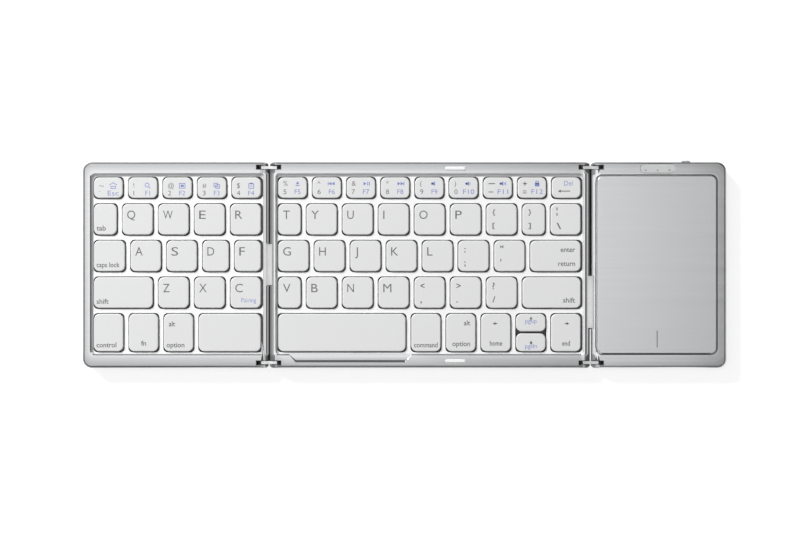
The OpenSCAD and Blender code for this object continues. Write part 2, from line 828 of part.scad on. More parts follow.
module scissor(k, x)
{
    length = frame_l(k);
    width = frame_d(k);
    room = z_roof - z_membrane - 0.2;
    lean = asin((room - 0.9) / length);
    translate([x, k[1], (z_roof + z_membrane) / 2]) {
        leaning_ring(length, width, lean);
        leaning_ring(length, width - 2 * scissor_bar - 0.4, -lean);
        for (side = [-1, 1])
            translate([0, side * (width / 2 - scissor_bar), 0]) rotate([90, 0, 0])
                cylinder(h = 1.2, r = 0.3, center = true);
    }
}

module scissors(keys)
{
    color(steel) for (k = keys) {
        if (k[2] > 2 * (dome_r + scissor_l + cap_wall + 1)) {
            scissor(k, k[0] - k[2] / 4);
            scissor(k, k[0] + k[2] / 4);
        } else {
            scissor(k, k[0]);
        }
    }
}

module middle_scissors() { scissors(middle_keys); }
module left_scissors() { scissors(left_keys); }

// Right wing's contents

module touchpad()
{
    g = touchpad_gap;
    color(silver) rounded_plate(pad_well_x0 + g, pad_well_y0 + g, pad_well_x1 - g, pad_well_y1 - g,
                                touchpad_corner_r - g, z_sensor, z_touchpad);
}

module touchpad_sensor()
{
    e = ledge_w + 0.4;
    color("darkgreen") block(pad_well_x0 + e, pad_well_y0 + e, z_sensor - sensor_t,
                             pad_well_x1 - e, pad_well_y1 - e, z_sensor);
}

// Chip on the circuit board, placed from the board's front edge and the wing's middle
module chip(x, y, w, d)
{
    block(wing_cx + x - w / 2, board_y0 + y - d / 2, z_board, wing_cx + x + w / 2, board_y0 + y + d / 2,
          z_board + chip_h);
}

// Circuit board with a shielded module, a controller and the two switches
module main_board()
{
    click_y = 23;
    click_z = z_sensor - sensor_t - click_travel - 0.1;
    switch_w = 5;
    switch_y1 = flange_y - flange_t - button_travel - 0.05;
    color("darkgreen") {
        block(board_x0, board_y0, z_split, board_x1, board_y1, z_board);
        chip(-10.5, 14, 11, 12);
        chip(7.5, 12.5, 7, 7);
        chip(0, click_y, 4, 4);
        post(wing_cx, board_y0 + click_y, z_board + chip_h, click_z, 1.3);
        block(button_cx - switch_w / 2, board_y1 - 2, z_board, button_cx + switch_w / 2, switch_y1,
              z_axis + button_h / 2);
    }
    color(black) {
        ribbon_tail(right_fold_x, 1, board_tail_x, -right_ribbon_y, right_ribbon_w, z_split + ribbon_t);
        block(board_tail_x + riser_x, -right_ribbon_y + right_ribbon_w / 2 - 5, z_split,
              board_x0 + 4, -right_ribbon_y + right_ribbon_w / 2, z_split + ribbon_t);
    }
}

module battery()
{
    y1 = board_y0 - 3;
    color("dimgray") rounded_plate(board_x0 + 5, y1 - battery_d, board_x1 - 1, y1, 2, z_split,
                                   z_split + battery_t);
}

module window_shape(extra, z0, z1)
{
    w = window_w + 2 * extra;
    rounded_plate(window_cx - window_l / 2 - extra, window_y - w / 2, window_cx + window_l / 2 + extra,
                  window_y + w / 2, w / 2 - 0.01, z0, z1);
}

module window_lights(z0, z1, r)
{
    for (i = [-1:1])
        post(window_cx + i * window_l / 2.9, window_y - window_w / 5, z0, z1, r);
}

module indicator_window()
{
    color(white) difference() {
        window_shape(0, z_window, z_top - 0.05);
        window_lights(z_top - 0.3, z_top, 0.55);
    }
}

module button_slot()
{
    e = fit;
    block(button_cx - button_w / 2 - e, y_back - wall_t - over, z_axis - button_h / 2 - e,
          button_cx + button_w / 2 + e, y_back + over, z_axis + button_h / 2 + e);
}

module power_button()
{
    half_w = button_w / 2;
    half_h = button_h / 2;
    color(silver) {
        block(button_cx - half_w, flange_y - flange_t, z_axis - half_h, button_cx + half_w,
              y_back + button_proud, z_axis + half_h);
        block(button_cx - half_w - flange_over, flange_y - flange_t, z_axis - half_h - 0.2,
              button_cx + half_w + flange_over, flange_y, z_axis + half_h + 0.2);
    }
}

module socket_slot()
{
    e = fit;
    block(socket_cx - socket_w / 2 - e, y_back - wall_t - over, z_board - e,
          socket_cx + socket_w / 2 + e, y_back + over, z_board + socket_h + e);
}

module charge_socket()
{
    z0 = z_board;
    y1 = y_back - 0.2;
    w = 0.35;
    color(steel) {
        difference() {
            block(socket_cx - socket_w / 2, y1 - socket_l, z0, socket_cx + socket_w / 2, y1, z0 + socket_h);
            block(socket_cx - socket_w / 2 + w, y1 - socket_l + w, z0 + w,
                  socket_cx + socket_w / 2 - w, y1 + over, z0 + socket_h - w);
        }
        block(socket_cx - socket_w / 4, y1 - socket_l, z0 + socket_h / 2 - 0.25,
              socket_cx + socket_w / 4, y1 - 1, z0 + socket_h / 2 + 0.25);
    }
}

// Hinges

module hinge_links(fold_x)
{
    color(steel) for (y = [-link_y, link_y]) difference() {
        union() {
            for (side = [-1, 1])
                y_rod(fold_x + side * pivot_offset, y, z_axis, link_r, link_t);
            block(fold_x - pivot_offset, y - link_t / 2, z_axis - link_r,
                  fold_x + pivot_offset, y + link_t / 2, z_axis + link_r);
            block(fold_x - stalk_half_w, y - link_t / 2, z_ribbon,
                  fold_x + stalk_half_w, y + link_t / 2, z_axis);
        }
        for (side = [-1, 1])
            y_rod(fold_x + side * pivot_offset, y, z_axis, pin_r + 0.02, link_t + over);
    }
}

module hinge_pins(fold_x)
{
    color(steel) for (y = [-link_y, link_y], side = [-1, 1])
        y_rod(fold_x + side * pivot_offset, y, z_axis, pin_r, pin_l);
}

// Bar in the valley of a fold, from the back link to past the ribbon or to the front link
module cable_bridge(fold_x, y0)
{
    color(black) block(fold_x - bridge_half_w, y0, z_bridge, fold_x + bridge_half_w,
                       link_y + link_t / 2, z_ribbon);
}

module ribbon_cable(fold_x, ribbon_y, ribbon_w)
{
    color(white) block(fold_x - bridge_half_w, ribbon_y - ribbon_w / 2, z_ribbon,
                       fold_x + bridge_half_w, ribbon_y + ribbon_w / 2, z_ribbon + ribbon_t);
}

module left_hinge_links() { hinge_links(left_fold_x); }
module left_hinge_pins() { hinge_pins(left_fold_x); }
module left_cable_bridge() { cable_bridge(left_fold_x, -link_y - link_t / 2); }
module left_ribbon_cable() { ribbon_cable(left_fold_x, left_ribbon_y, left_ribbon_w); }
module right_hinge_links() { hinge_links(right_fold_x); }
module right_hinge_pins() { hinge_pins(right_fold_x); }
module right_cable_bridge() { cable_bridge(right_fold_x, -right_ribbon_y - right_ribbon_w / 2 - 0.5); }
module right_ribbon_cable() { ribbon_cable(right_fold_x, -right_ribbon_y, right_ribbon_w); }

// Feet, pads, screws and magnets

module feet(x0, x1)
{
    color(black) foot_places(x0, x1) post(0, 0, 0, z_base + seat_depth, foot_r);
}

module middle_feet() { feet(middle_x0, middle_x1); }
module left_feet() { feet(left_x0, left_x1); }
module right_feet() { feet(right_x0, right_x1); }

// The pads stand where the edges of the two folded wings meet
module pad_places()
{
    pad_x = left_fold_x + left_w + fold_gap;
    for (y = [y_back - back_rim / 2 - 0.3, y_front + front_rim / 2 + 0.05])
        translate([pad_x, y, 0]) children();
}

module pad_shape(extra, z0)
{
    w = pad_w / 2 + extra;
    rounded_plate(-pad_l / 2 - extra, -w, pad_l / 2 + extra, w, 0.4, z0, z_top + pad_proud);
}

module bumper_pads()
{
    color(white) pad_places() pad_shape(0, z_top - seat_depth);
}

module screw_set(places, z_end)
{
    color(steel) for (x = places, y = [-screw_y, screw_y]) {
        difference() {
            post(x, y, z_base + 0.1, z_base + 0.1 + screw_head_h, screw_head_r);
            translate([x, y, z_base]) {
                cube([1.6, 0.35, 0.7], center = true);
                cube([0.35, 1.6, 0.7], center = true);
            }
        }
        post(x, y, z_base + screw_head_h, z_end, screw_r);
    }
}

module middle_screws() { screw_set(middle_screw_x, z_deck - 0.8); }
module left_screws() { screw_set(left_screw_x, z_deck - 0.8); }
module right_screws() { screw_set(right_screw_x, z_ledge - 1.4); }

// Bar magnets on the floor of each wing, under its front rim
module magnets(x)
{
    y = y_front + wall_t + fit;
    color(steel) block(x - magnet_l / 2, y, z_floor, x + magnet_l / 2, y + magnet_w, z_floor + magnet_h);
}

module left_magnets()
{
    for (i = [1, 2])
        magnets(left_x0 + i * left_w / 3);
}

module right_magnets()
{
    magnets(wing_cx);
}

middle_bottom_cover();
middle_top_frame();
middle_key_web();
middle_support_plate();
middle_membrane();
middle_domes();
middle_scissors();
middle_feet();
middle_screws();
bumper_pads();
left_bottom_cover();
left_top_frame();
left_key_web();
left_support_plate();
left_membrane();
left_domes();
left_scissors();
left_feet();
left_screws();
left_magnets();
right_bottom_cover();
right_top_frame();
touchpad();
touchpad_sensor();
main_board();
battery();
indicator_window();
charge_socket();
right_feet();
right_screws();
right_magnets();
power_button();
left_hinge_links();
left_hinge_pins();
left_cable_bridge();
left_ribbon_cable();
right_hinge_links();
right_hinge_pins();
right_cable_bridge();
right_ribbon_cable();
left_number_keys();
tab_key();
left_top_row_keys();
left_home_row_keys();
left_shift_key();
left_lower_row_keys();
left_modifier_keys();
left_space_key();
middle_number_keys();
middle_top_row_keys();
middle_home_row_keys();
enter_key();
middle_lower_row_keys();
right_shift_key();
space_bar();
middle_modifier_keys();
left_arrow_key();
up_arrow_key();
down_arrow_key();
right_arrow_key();
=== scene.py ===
"""Finish, lettering and studio for a pocket keyboard that folds in three."""

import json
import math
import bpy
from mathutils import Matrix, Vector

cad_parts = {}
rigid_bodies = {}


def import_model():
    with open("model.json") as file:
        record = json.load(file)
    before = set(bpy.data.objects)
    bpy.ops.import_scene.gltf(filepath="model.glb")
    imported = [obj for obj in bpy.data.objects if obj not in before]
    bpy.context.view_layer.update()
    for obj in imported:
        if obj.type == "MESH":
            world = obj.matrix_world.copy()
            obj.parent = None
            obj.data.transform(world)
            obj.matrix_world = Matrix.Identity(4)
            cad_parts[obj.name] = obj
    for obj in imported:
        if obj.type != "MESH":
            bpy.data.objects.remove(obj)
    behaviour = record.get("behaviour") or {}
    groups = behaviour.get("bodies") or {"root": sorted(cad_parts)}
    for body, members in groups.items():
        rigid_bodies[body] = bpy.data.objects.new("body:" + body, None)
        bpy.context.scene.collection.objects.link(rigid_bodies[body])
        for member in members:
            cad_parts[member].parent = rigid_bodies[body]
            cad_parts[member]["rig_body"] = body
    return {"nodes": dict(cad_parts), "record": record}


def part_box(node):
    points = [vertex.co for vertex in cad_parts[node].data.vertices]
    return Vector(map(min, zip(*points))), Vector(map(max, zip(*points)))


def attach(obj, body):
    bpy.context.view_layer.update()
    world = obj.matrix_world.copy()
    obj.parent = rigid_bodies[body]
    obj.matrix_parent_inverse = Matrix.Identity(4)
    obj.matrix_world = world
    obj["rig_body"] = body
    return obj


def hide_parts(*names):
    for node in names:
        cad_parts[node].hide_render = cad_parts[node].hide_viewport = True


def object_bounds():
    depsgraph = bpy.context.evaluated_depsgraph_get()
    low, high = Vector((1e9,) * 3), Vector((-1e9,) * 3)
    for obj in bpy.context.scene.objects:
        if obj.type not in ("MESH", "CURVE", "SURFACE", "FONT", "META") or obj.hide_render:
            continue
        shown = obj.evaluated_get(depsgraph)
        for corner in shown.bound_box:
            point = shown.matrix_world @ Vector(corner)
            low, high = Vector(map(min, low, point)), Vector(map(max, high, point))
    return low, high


bl_info = {
    "name": "Folding Keyboard Finish",
    "version": (1, 0, 0),
    "blender": (4, 5, 0),
    "location": "View3D > Sidebar > Keyboard",
    "description": "Dresses a folding keyboard with keycaps, lettering, brushed frames and a studio",
    "category": "Object",
}

from contextlib import contextmanager

import bmesh
import bpy
from bpy.props import FloatProperty, FloatVectorProperty, PointerProperty
from mathutils import Matrix, Vector

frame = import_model()
cad_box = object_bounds()
node_slots = {part["node"]: part["material_slot"] for part in frame["record"]["subparts"]}

MM = 0.001
# Two points this close, in metres, are one point, or lie at one level
SAME = 1e-6
NEAR = 1e-5
SENSOR_WIDTH = 36.0
# A key web reaches this far under its frame, and ends this far inside its well beside a fold
WEB_LIP = 0.8 * MM
FOLD_GAP = 0.15 * MM
FOLDS = (-64.7 * MM, 88.9 * MM)
PAD_GAP = 0.3 * MM
WELL_CORNER = 1.8 * MM

KEY_NODES = (
    "left_number_keys", "tab_key", "left_top_row_keys", "left_home_row_keys",
    "left_shift_key", "left_lower_row_keys", "left_modifier_keys", "left_space_key",
    "middle_number_keys", "middle_top_row_keys", "middle_home_row_keys", "enter_key",
    "middle_lower_row_keys", "right_shift_key", "space_bar", "middle_modifier_keys",
    "left_arrow_key", "up_arrow_key", "down_arrow_key", "right_arrow_key",
)


# Sizes and colours that a user would change

def length(name, description, default, low, high, unit=MM):
    """A length that a user may change. Its numbers are millimetres unless another unit is given."""
    return FloatProperty(name=name, description=description, default=default * unit, min=low * unit,
                         max=high * unit, unit="LENGTH", precision=5)


def colour(name, description, default):
    return FloatVectorProperty(name=name, description=description, subtype="COLOR", size=3,
                               default=default, min=0, max=1)


class KeyboardKeySettings(bpy.types.PropertyGroup):
    corner_radius: length("Corner Radius", "Radius of a keycap's four corners, seen from above", 2.6, 0.5, 3)
    edge_softness: length("Edge Softness", "Width of the rounding around a keycap's top", 0.45, 0.05, 0.8)
    wall: length("Wall", "Thickness of a keycap's skirt", 0.9, 0.4, 1.2)
    roof: length("Roof", "Thickness of a keycap under its top face", 1.0, 0.5, 1.4)
    side_trim: length("Side Trim", "How far a keycap stays inside its place on the left and right", 0.1, 0, 0.3)
    back_trim: length("Back Trim", "How far a keycap stays inside its place at the back", 0.3, 0, 0.5)
    number_trim: length("Number Row Trim", "The same at the back of the number row", 0.6, 0, 0.8)
    lit_gap: length("Lit Gap", "Extra gap between cap and web on the left and at the back", 0.1, 0, 0.3)
    shaded_gap: length("Shaded Gap", "Extra gap between cap and web on the right and at the front", 0.22, 0, 0.4)
    first_gap: length("First Gap", "Extra gap left of the first keys beside a fold", 0.3, 0, 0.5)
    end_gap: length("End Gap", "How far the web's openings reach on beside a section's last keys", 0.55, 0, 0.7)
    cap_colour: colour("Cap Colour", "Colour of the keycaps", (0.755, 0.757, 0.76))
    web_colour: colour("Web Colour", "Colour of the plastic between the keys", (0.93, 0.93, 0.93))


class KeyboardLetterSettings(bpy.types.PropertyGroup):
    letter_height: length("Letter Height", "Height of the capital letters", 4.0, 1, 8)
    sign_height: length("Sign Height", "Height of the digits and signs on the number row", 2.25, 1, 5)
    word_height: length("Word Height", "Height of tall letters in the words on the keys", 2.3, 1, 5)
    ink_colour: colour("Ink Colour", "Colour of the letters and signs", (0.13, 0.13, 0.135))
    second_ink_colour: colour("Second Ink Colour", "Colour of the second functions on the keys", (0.2, 0.25, 0.58))


class KeyboardMetalSettings(bpy.types.PropertyGroup):
    edge_width: length("Edge Width", "Width of the polished line along the wells and folds", 0.2, 0.02, 0.4)
    # The dark line above the chamfer is a joint, darkened as painted shade
    seam_width: length("Seam Width", "Width of the dark line where the top plate meets the outer chamfer",
                       0.28, 0.02, 0.5)
    slope_width: length("Well Slope", "Width of the slope from the frame down to the web, seen from above",
                        0.35, 0.2, 1)
    # The slope is wider on the left and at the back, where it stands in for the rim's shadow as painted shade
    left_slope_width: length("Left Well Slope", "Width of that slope on the left", 0.85, 0.2, 0.9)
    back_slope_width: length("Back Well Slope", "Width of that slope at the back", 1.3, 0.2, 1.35)
    frame_colour: colour("Frame Colour", "Colour of the brushed top frames", (0.66, 0.665, 0.675))
    cover_colour: colour("Cover Colour", "Colour of the bottom covers", (0.55, 0.555, 0.57))
    pad_colour: colour("Touchpad Colour", "Colour of the touchpad's face", (0.81, 0.816, 0.828))


class KeyboardStudioSettings(bpy.types.PropertyGroup):
    camera_height: length("Camera Height", "Height of the camera above the keyboard's top face", 0.75, 0.3, 3, 1)
    view_width: length("View Width", "Width that the picture shows at the keyboard's top face", 0.38012, 0.1, 2, 1)
    view_centre: FloatVectorProperty(
        name="View Centre", description="Point of the keyboard under the middle of the picture",
        subtype="XYZ", size=2, default=(-0.00239, -0.00069), unit="LENGTH", precision=5)
    sky: FloatProperty(
        name="Sky", description="Brightness of the light from all around", default=0.3, min=0, max=2)
    floor_colour: colour("Floor Colour", "Colour of the floor", (0.8, 0.8, 0.8))


# Modelling by hand: selecting, shaping and finishing a piece

def leave_all():
    if bpy.context.object and bpy.context.object.mode != "OBJECT":
        bpy.ops.object.mode_set(mode="OBJECT")
    bpy.ops.object.select_all(action="DESELECT")


def take(piece, *others):
    """Selects a piece, and others with it, and makes it the active one."""
    leave_all()
    for other in others:
        other.select_set(True)
    piece.select_set(True)
    bpy.context.view_layer.objects.active = piece
    return piece


@contextmanager
def editing(piece):
    """Opens a piece in edit mode for the lines of a with block."""
    take(piece)
    bpy.ops.object.mode_set(mode="EDIT")
    yield
    bpy.ops.object.mode_set(mode="OBJECT")


def settle(piece):
    """Puts a piece's place, turn and size into its mesh."""
    take(piece)
    bpy.ops.object.transform_apply(location=True, rotation=True, scale=True)
    return piece


def add_block(name, low, high):
    leave_all()
    low, high = Vector(low), Vector(high)
    bpy.ops.mesh.primitive_cube_add(size=1, location=(low + high) / 2, scale=high - low)
    piece = bpy.context.object
    piece.name = name
    return settle(piece)


def add_disc(name, x, y, z, radius, sides):
    leave_all()
    bpy.ops.mesh.primitive_circle_add(vertices=sides, radius=radius, fill_type="NGON", location=(x, y, z))
    piece = bpy.context.object
    piece.name = name
    return settle(piece)


def choose(piece, kind, wanted):
    """Selects the corners, edges or faces of a piece in edit mode that pass a test."""
    bpy.ops.mesh.select_mode(type=kind)
    bpy.ops.mesh.select_all(action="DESELECT")
    shape = bmesh.from_edit_mesh(piece.data)
    items = {"VERT": shape.verts, "EDGE": shape.edges, "FACE": shape.faces}[kind]
    for item in items:
        if wanted(item):
            item.select_set(True)
    shape.select_flush_mode()
    bmesh.update_edit_mesh(piece.data)


def upright(edge):
    """True for an edge that stands straight up."""
    a, b = edge.verts[0].co, edge.verts[1].co
    return math.hypot(a.x - b.x, a.y - b.y) < SAME < abs(a.z - b.z)


def faces_up(face):
    return face.normal.z > 0.9


def faces_down(face):
    return face.normal.z < -0.9


def bevel(width, segments, **more):
    bpy.ops.mesh.bevel(offset=width, offset_type="OFFSET", segments=segments, profile=0.5, affect="EDGES", **more)


def round_corners(piece, radius, segments=8):
    """Rounds the upright edges of a block, seen from above."""
    with editing(piece):
        choose(piece, "EDGE", upright)
        bevel(radius, segments)
    return piece


def round_rim(piece, width, segments=3, side="top", material=-1):
    """Rounds the edges around the top or bottom face of a flat piece."""
    with editing(piece):
        points = [v.co.z for v in bmesh.from_edit_mesh(piece.data).verts]
        level = max(points) if side == "top" else min(points)
        choose(piece, "EDGE", lambda e: all(abs(v.co.z - level) < SAME for v in e.verts)
               and e.calc_face_angle(0) > 0.5)
        bevel(width, segments, material=material)
    return piece


def smooth(piece, degrees=35):
    """Smooths the soft edges and keeps the broad faces flat in the light."""
    take(piece)
    bpy.ops.object.shade_smooth_by_angle(angle=math.radians(degrees))
    bpy.ops.object.modifier_add(type="WEIGHTED_NORMAL")
    piece.modifiers[-1].keep_sharp = True
    piece.modifiers[-1].weight = 100
    bpy.ops.object.modifier_apply(modifier=piece.modifiers[-1].name)
    return piece


def tidy_mesh(piece):
    """Merges doubles and turns every face outwards."""
    with editing(piece):
        bpy.ops.mesh.select_all(action="SELECT")
        bpy.ops.mesh.remove_doubles(threshold=SAME)
        bpy.ops.mesh.normals_make_consistent(inside=False)
    return piece


def merge(name, pieces):
    """Joins several pieces into one."""
    take(pieces[0], *pieces[1:])
    if len(pieces) > 1:
        bpy.ops.object.join()
    whole = bpy.context.object
    whole.name = name
    whole.data.name = name
    return whole


def copy_at(model, offset):
    """Copies a model piece with a mesh of its own, moved by an offset."""
    piece = bpy.data.objects.new(model.name, model.data.copy())
    piece.data.transform(Matrix.Translation(offset))
    bpy.context.scene.collection.objects.link(piece)
    return piece


def drop(piece):
    bpy.data.objects.remove(piece)


def dress(piece, body, materials, replaced=()):
    """Gives a finished piece its materials and its body, and hides the nodes that it stands for."""
    slots = piece.data.materials
    while len(slots) > len(materials):
        slots.pop(index=len(slots) - 1)
    for index, material in enumerate(materials):
        if index < len(slots):
            slots[index] = material
        else:
            slots.append(material)
    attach(piece, body)
    if replaced:
        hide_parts(*replaced)
    return piece


def body_of(node):
    return frame["nodes"][node]["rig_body"]


def boxes_in(node):
    """Boxes of a node's separate solids, from the back to the front and from left to right."""
    shape = bmesh.new()
    shape.from_mesh(frame["nodes"][node].data)
    bmesh.ops.remove_doubles(shape, verts=shape.verts, dist=SAME)
    seen, boxes = set(), []
    for start in shape.verts:
        if start in seen:
            continue
        seen.add(start)
        island, waiting = [], [start]
        while waiting:
            vert = waiting.pop()
            island.append(vert.co.copy())
            for edge in vert.link_edges:
                other = edge.other_vert(vert)
                if other not in seen:
                    seen.add(other)
                    waiting.append(other)
        boxes.append((Vector([min(p[i] for p in island) for i in range(3)]),
                      Vector([max(p[i] for p in island) for i in range(3)])))
    shape.free()
    return sorted(boxes, key=lambda b: (-round((b[0].y + b[1].y) * 500), b[0].x))


def open_copy(node, name):
    """Copies a node's shape, merged and without its flat seams, with open slots for materials."""
    piece = bpy.data.objects.new(name, frame["nodes"][node].data.copy())
    bpy.context.scene.collection.objects.link(piece)
    piece.data.materials.clear()
    for _ in range(5):
        piece.data.materials.append(None)
    with editing(piece):
        bpy.ops.mesh.select_all(action="SELECT")
        bpy.ops.mesh.remove_doubles(threshold=SAME)
        bpy.ops.mesh.dissolve_limited(angle_limit=math.radians(0.5))
    return piece


def assign(piece, index, wanted):
    """Gives the faces that pass a test one of the piece's materials."""
    with editing(piece):
        choose(piece, "FACE", wanted)
        piece.active_material_index = index
        bpy.ops.object.material_slot_assign()


def cut_across(*places):
    """Cuts the open piece along planes that stand across X."""
    for x in places:
        bpy.ops.mesh.select_all(action="SELECT")
        bpy.ops.mesh.bisect(plane_co=(x, 0, 0), plane_no=(1, 0, 0))


def move(x=0, y=0, z=0):
    bpy.ops.transform.translate(value=(x, y, z))


def turn_of(edge):
    """Angle between an edge's two faces, in degrees."""
    return math.degrees(edge.calc_face_angle(0)) if len(edge.link_faces) == 2 else 0


def soften(piece, width, wanted, material=1, segments=2):
    """Rounds the chosen edges of a piece. The new faces take one of its materials."""
    with editing(piece):
        choose(piece, "EDGE", wanted)
        bevel(width, segments, clamp_overlap=False, material=material)
    return piece


# Effects that several materials share

def node_in(tree, kind, place, **values):
    """Adds a node to a tree. A value is one of its settings or else one of its inputs."""
    made = tree.nodes.new(kind)
    made.location = place
    for key, value in values.items():
        if hasattr(made, key):
            setattr(made, key, value)
        else:
            made.inputs[key.replace("_", " ").title()].default_value = value
    return made


def math_in(tree, operation, a, b, place):
    """Adds a math node. Its inputs are numbers or the outputs of other nodes."""
    made = node_in(tree, "ShaderNodeMath", place, operation=operation)
    for socket, value in zip(made.inputs, (a, b)):
        if isinstance(value, (int, float)):
            socket.default_value = value
        else:
            tree.links.new(value, socket)
    return made.outputs[0]


def new_group(name, inputs, outputs):
    group = bpy.data.node_groups.new(name, "ShaderNodeTree")
    for label, default in inputs.items():
        socket = group.interface.new_socket(label, in_out="INPUT", socket_type="NodeSocketFloat")
        socket.default_value = default
    for label in outputs:
        group.interface.new_socket(label, in_out="OUTPUT", socket_type="NodeSocketFloat")
    start = group.nodes.new("NodeGroupInput")
    end = group.nodes.new("NodeGroupOutput")
    start.location, end.location = (-900, 0), (600, 0)
    place = node_in(group, "ShaderNodeTexCoord", (-1300, 200)).outputs["Object"]
    return group, start.outputs, end.inputs, place


def tone_in(group, value, centre, contrast):
    """Turns a noise about its centre into a tone about one."""
    spread = math_in(group, "SUBTRACT", value, centre, (-150, 100))
    return math_in(group, "ADD", math_in(group, "MULTIPLY", spread, contrast, (50, 100)), 1, (250, 100))


def grain_group():
    """Fine moulded or bead-blasted grain: a tone and a height."""
    group, start, end, place = new_group("Fine Grain", {"Density": 3000, "Contrast": 0.04}, ("Tone", "Height"))
    noise = node_in(group, "ShaderNodeTexNoise", (-600, 100), Detail=3.0, Roughness=0.6)
    link = group.links.new
    link(place, noise.inputs["Vector"])
    link(start["Density"], noise.inputs["Scale"])
    link(tone_in(group, noise.outputs["Fac"], 0.5, start["Contrast"]), end["Tone"])
    link(noise.outputs["Fac"], end["Height"])
    return group


def brushed_group():
    """Lines brushed along the keyboard: a tone, a height and a roughness mask."""
    group, start, end, place = new_group(
        "Brushed Lines", {"Line Density": 1400, "Contrast": 0.06}, ("Tone", "Height", "Mask"))
    fine = node_in(group, "ShaderNodeMapping", (-900, 300), Scale=(0.02, 1, 1))
    broad = node_in(group, "ShaderNodeMapping", (-900, -100), Scale=(0.03, 1, 1), Location=(0.3, 0.7, 0.1))
    fine_noise = node_in(group, "ShaderNodeTexNoise", (-600, 300), Detail=2.0, Roughness=0.5)
    broad_noise = node_in(group, "ShaderNodeTexNoise", (-600, -100), Scale=260.0, Detail=2.0, Roughness=0.5)
    link = group.links.new
    for mapping, noise in ((fine, fine_noise), (broad, broad_noise)):
        link(place, mapping.inputs["Vector"])
        link(mapping.outputs["Vector"], noise.inputs["Vector"])
    link(start["Line Density"], fine_noise.inputs["Scale"])
    both = math_in(group, "ADD", fine_noise.outputs["Fac"], broad_noise.outputs["Fac"], (-350, 100))
    link(tone_in(group, both, 1, start["Contrast"]), end["Tone"])
    link(fine_noise.outputs["Fac"], end["Height"])
    link(broad_noise.outputs["Fac"], end["Mask"])
    return group


def in_millimetres(group, place):
    """Splits a place into its X and Y in millimetres."""
    parts = node_in(group, "ShaderNodeSeparateXYZ", (-1100, 200))
    group.links.new(place, parts.inputs[0])
    return [math_in(group, "MULTIPLY", parts.outputs[axis], 1000, (-900, y)) for axis, y in (("X", 200), ("Y", -200))]


def well_distance_group():
    """Distance from the rounded outline of a key well, in millimetres: a value."""
    group, start, end, place = new_group(
        "Distance From Well", {"Centre X": 0, "Centre Y": 0, "Half Width": 50, "Half Depth": 43, "Corner": 1.8},
        ("Distance",))
    reach = []
    for in_mm, centre, half, y in zip(in_millimetres(group, place), ("Centre X", "Centre Y"),
                                      ("Half Width", "Half Depth"), (200, -200)):
        shifted = math_in(group, "SUBTRACT", in_mm, start[centre], (-750, y))
        offset = math_in(group, "ABSOLUTE", shifted, 0, (-600, y))
        beyond = math_in(group, "SUBTRACT", offset, start[half], (-450, y))
        reach.append(math_in(group, "ADD", beyond, start["Corner"], (-300, y)))
    squares = [math_in(group, "POWER", math_in(group, "MAXIMUM", side, 0, (-150, 100)), 2, (0, 100)) for side in reach]
    outside = math_in(group, "SQRT", math_in(group, "ADD", *squares, (150, 100)), 0, (300, 100))
    inside = math_in(group, "MINIMUM", math_in(group, "MAXIMUM", *reach, (-150, -200)), 0, (0, -200))
    whole = math_in(group, "ADD", outside, inside, (400, 0))
    group.links.new(math_in(group, "SUBTRACT", whole, start["Corner"], (500, 0)), end["Distance"])
    return group


def fold_distance_group():
    """Distance from a well's side towards the fold beside it, in millimetres, longer beyond the well's ends."""
    group, start, end, place = new_group(
        "Distance To Fold", {"Edge": 0, "Direction": 1, "Centre Y": 0, "Half Depth": 43}, ("Distance",))
    x_mm, y_mm = in_millimetres(group, place)
    shifted = math_in(group, "SUBTRACT", x_mm, start["Edge"], (-750, 200))
    across = math_in(group, "MULTIPLY", shifted, start["Direction"], (-600, 200))
    offset = math_in(group, "ABSOLUTE", math_in(group, "SUBTRACT", y_mm, start["Centre Y"], (-750, -200)), 0,
                     (-600, -200))
    past_end = math_in(group, "SUBTRACT", offset, start["Half Depth"], (-450, -200))
    beyond = math_in(group, "MAXIMUM", past_end, 0, (-300, -200))
    # The shift beyond the ends sets in over the first third of a millimetre from the well's side
    rise = math_in(group, "MAXIMUM", math_in(group, "MULTIPLY", across, 3, (-450, 50)), 0, (-300, 50))
    near = math_in(group, "MINIMUM", rise, 1, (-150, 50))
    most = math_in(group, "MINIMUM", beyond, 0.85, (-150, -200))
    shift = math_in(group, "MULTIPLY", math_in(group, "MULTIPLY", most, 2, (0, -200)), near, (100, -200))
    group.links.new(math_in(group, "ADD", across, shift, (200, 0)), end["Distance"])
    return group


def handling_group():
    """Faint wide marks that hands leave: a mask."""
    group, start, end, place = new_group("Handling Marks", {"Density": 45}, ("Mask",))
    noise = node_in(group, "ShaderNodeTexNoise", (-600, 100), Detail=4.0, Roughness=0.65)
    ramp = node_in(group, "ShaderNodeMapRange", (-300, 100), From_Min=0.4, From_Max=0.7)
    link = group.links.new
    link(place, noise.inputs["Vector"])
    link(start["Density"], noise.inputs["Scale"])
    link(noise.outputs["Fac"], ramp.inputs["Value"])
    link(ramp.outputs["Result"], end["Mask"])
    return group


BUMP_DISTANCE = 0.1 * MM
groups = {}


def shared(name):
    if not groups:
        groups.update(grain=grain_group(), brushed=brushed_group(), handling=handling_group(),
                      well_distance=well_distance_group(), fold_distance=fold_distance_group())
    return groups[name]


# Materials

def blank_material(name, colour, metallic, roughness, **shader_values):
    material = bpy.data.materials.new(name)
    material.use_nodes = True
    shader = material.node_tree.nodes["Principled BSDF"]
    shader.inputs["Base Color"].default_value = (*colour, 1)
    shader.inputs["Metallic"].default_value = metallic
    shader.inputs["Roughness"].default_value = roughness
    for label, value in shader_values.items():
        shader.inputs[label.replace("_", " ")].default_value = value
    material.diffuse_color = (*colour, 1)
    return material, shader


def add_effect(material, kind, place, **values):
    used = material.node_tree.nodes.new("ShaderNodeGroup")
    used.node_tree = shared(kind)
    used.location = place
    used.label = used.node_tree.name
    for label, value in values.items():
        used.inputs[label.replace("_", " ")].default_value = value
    return used


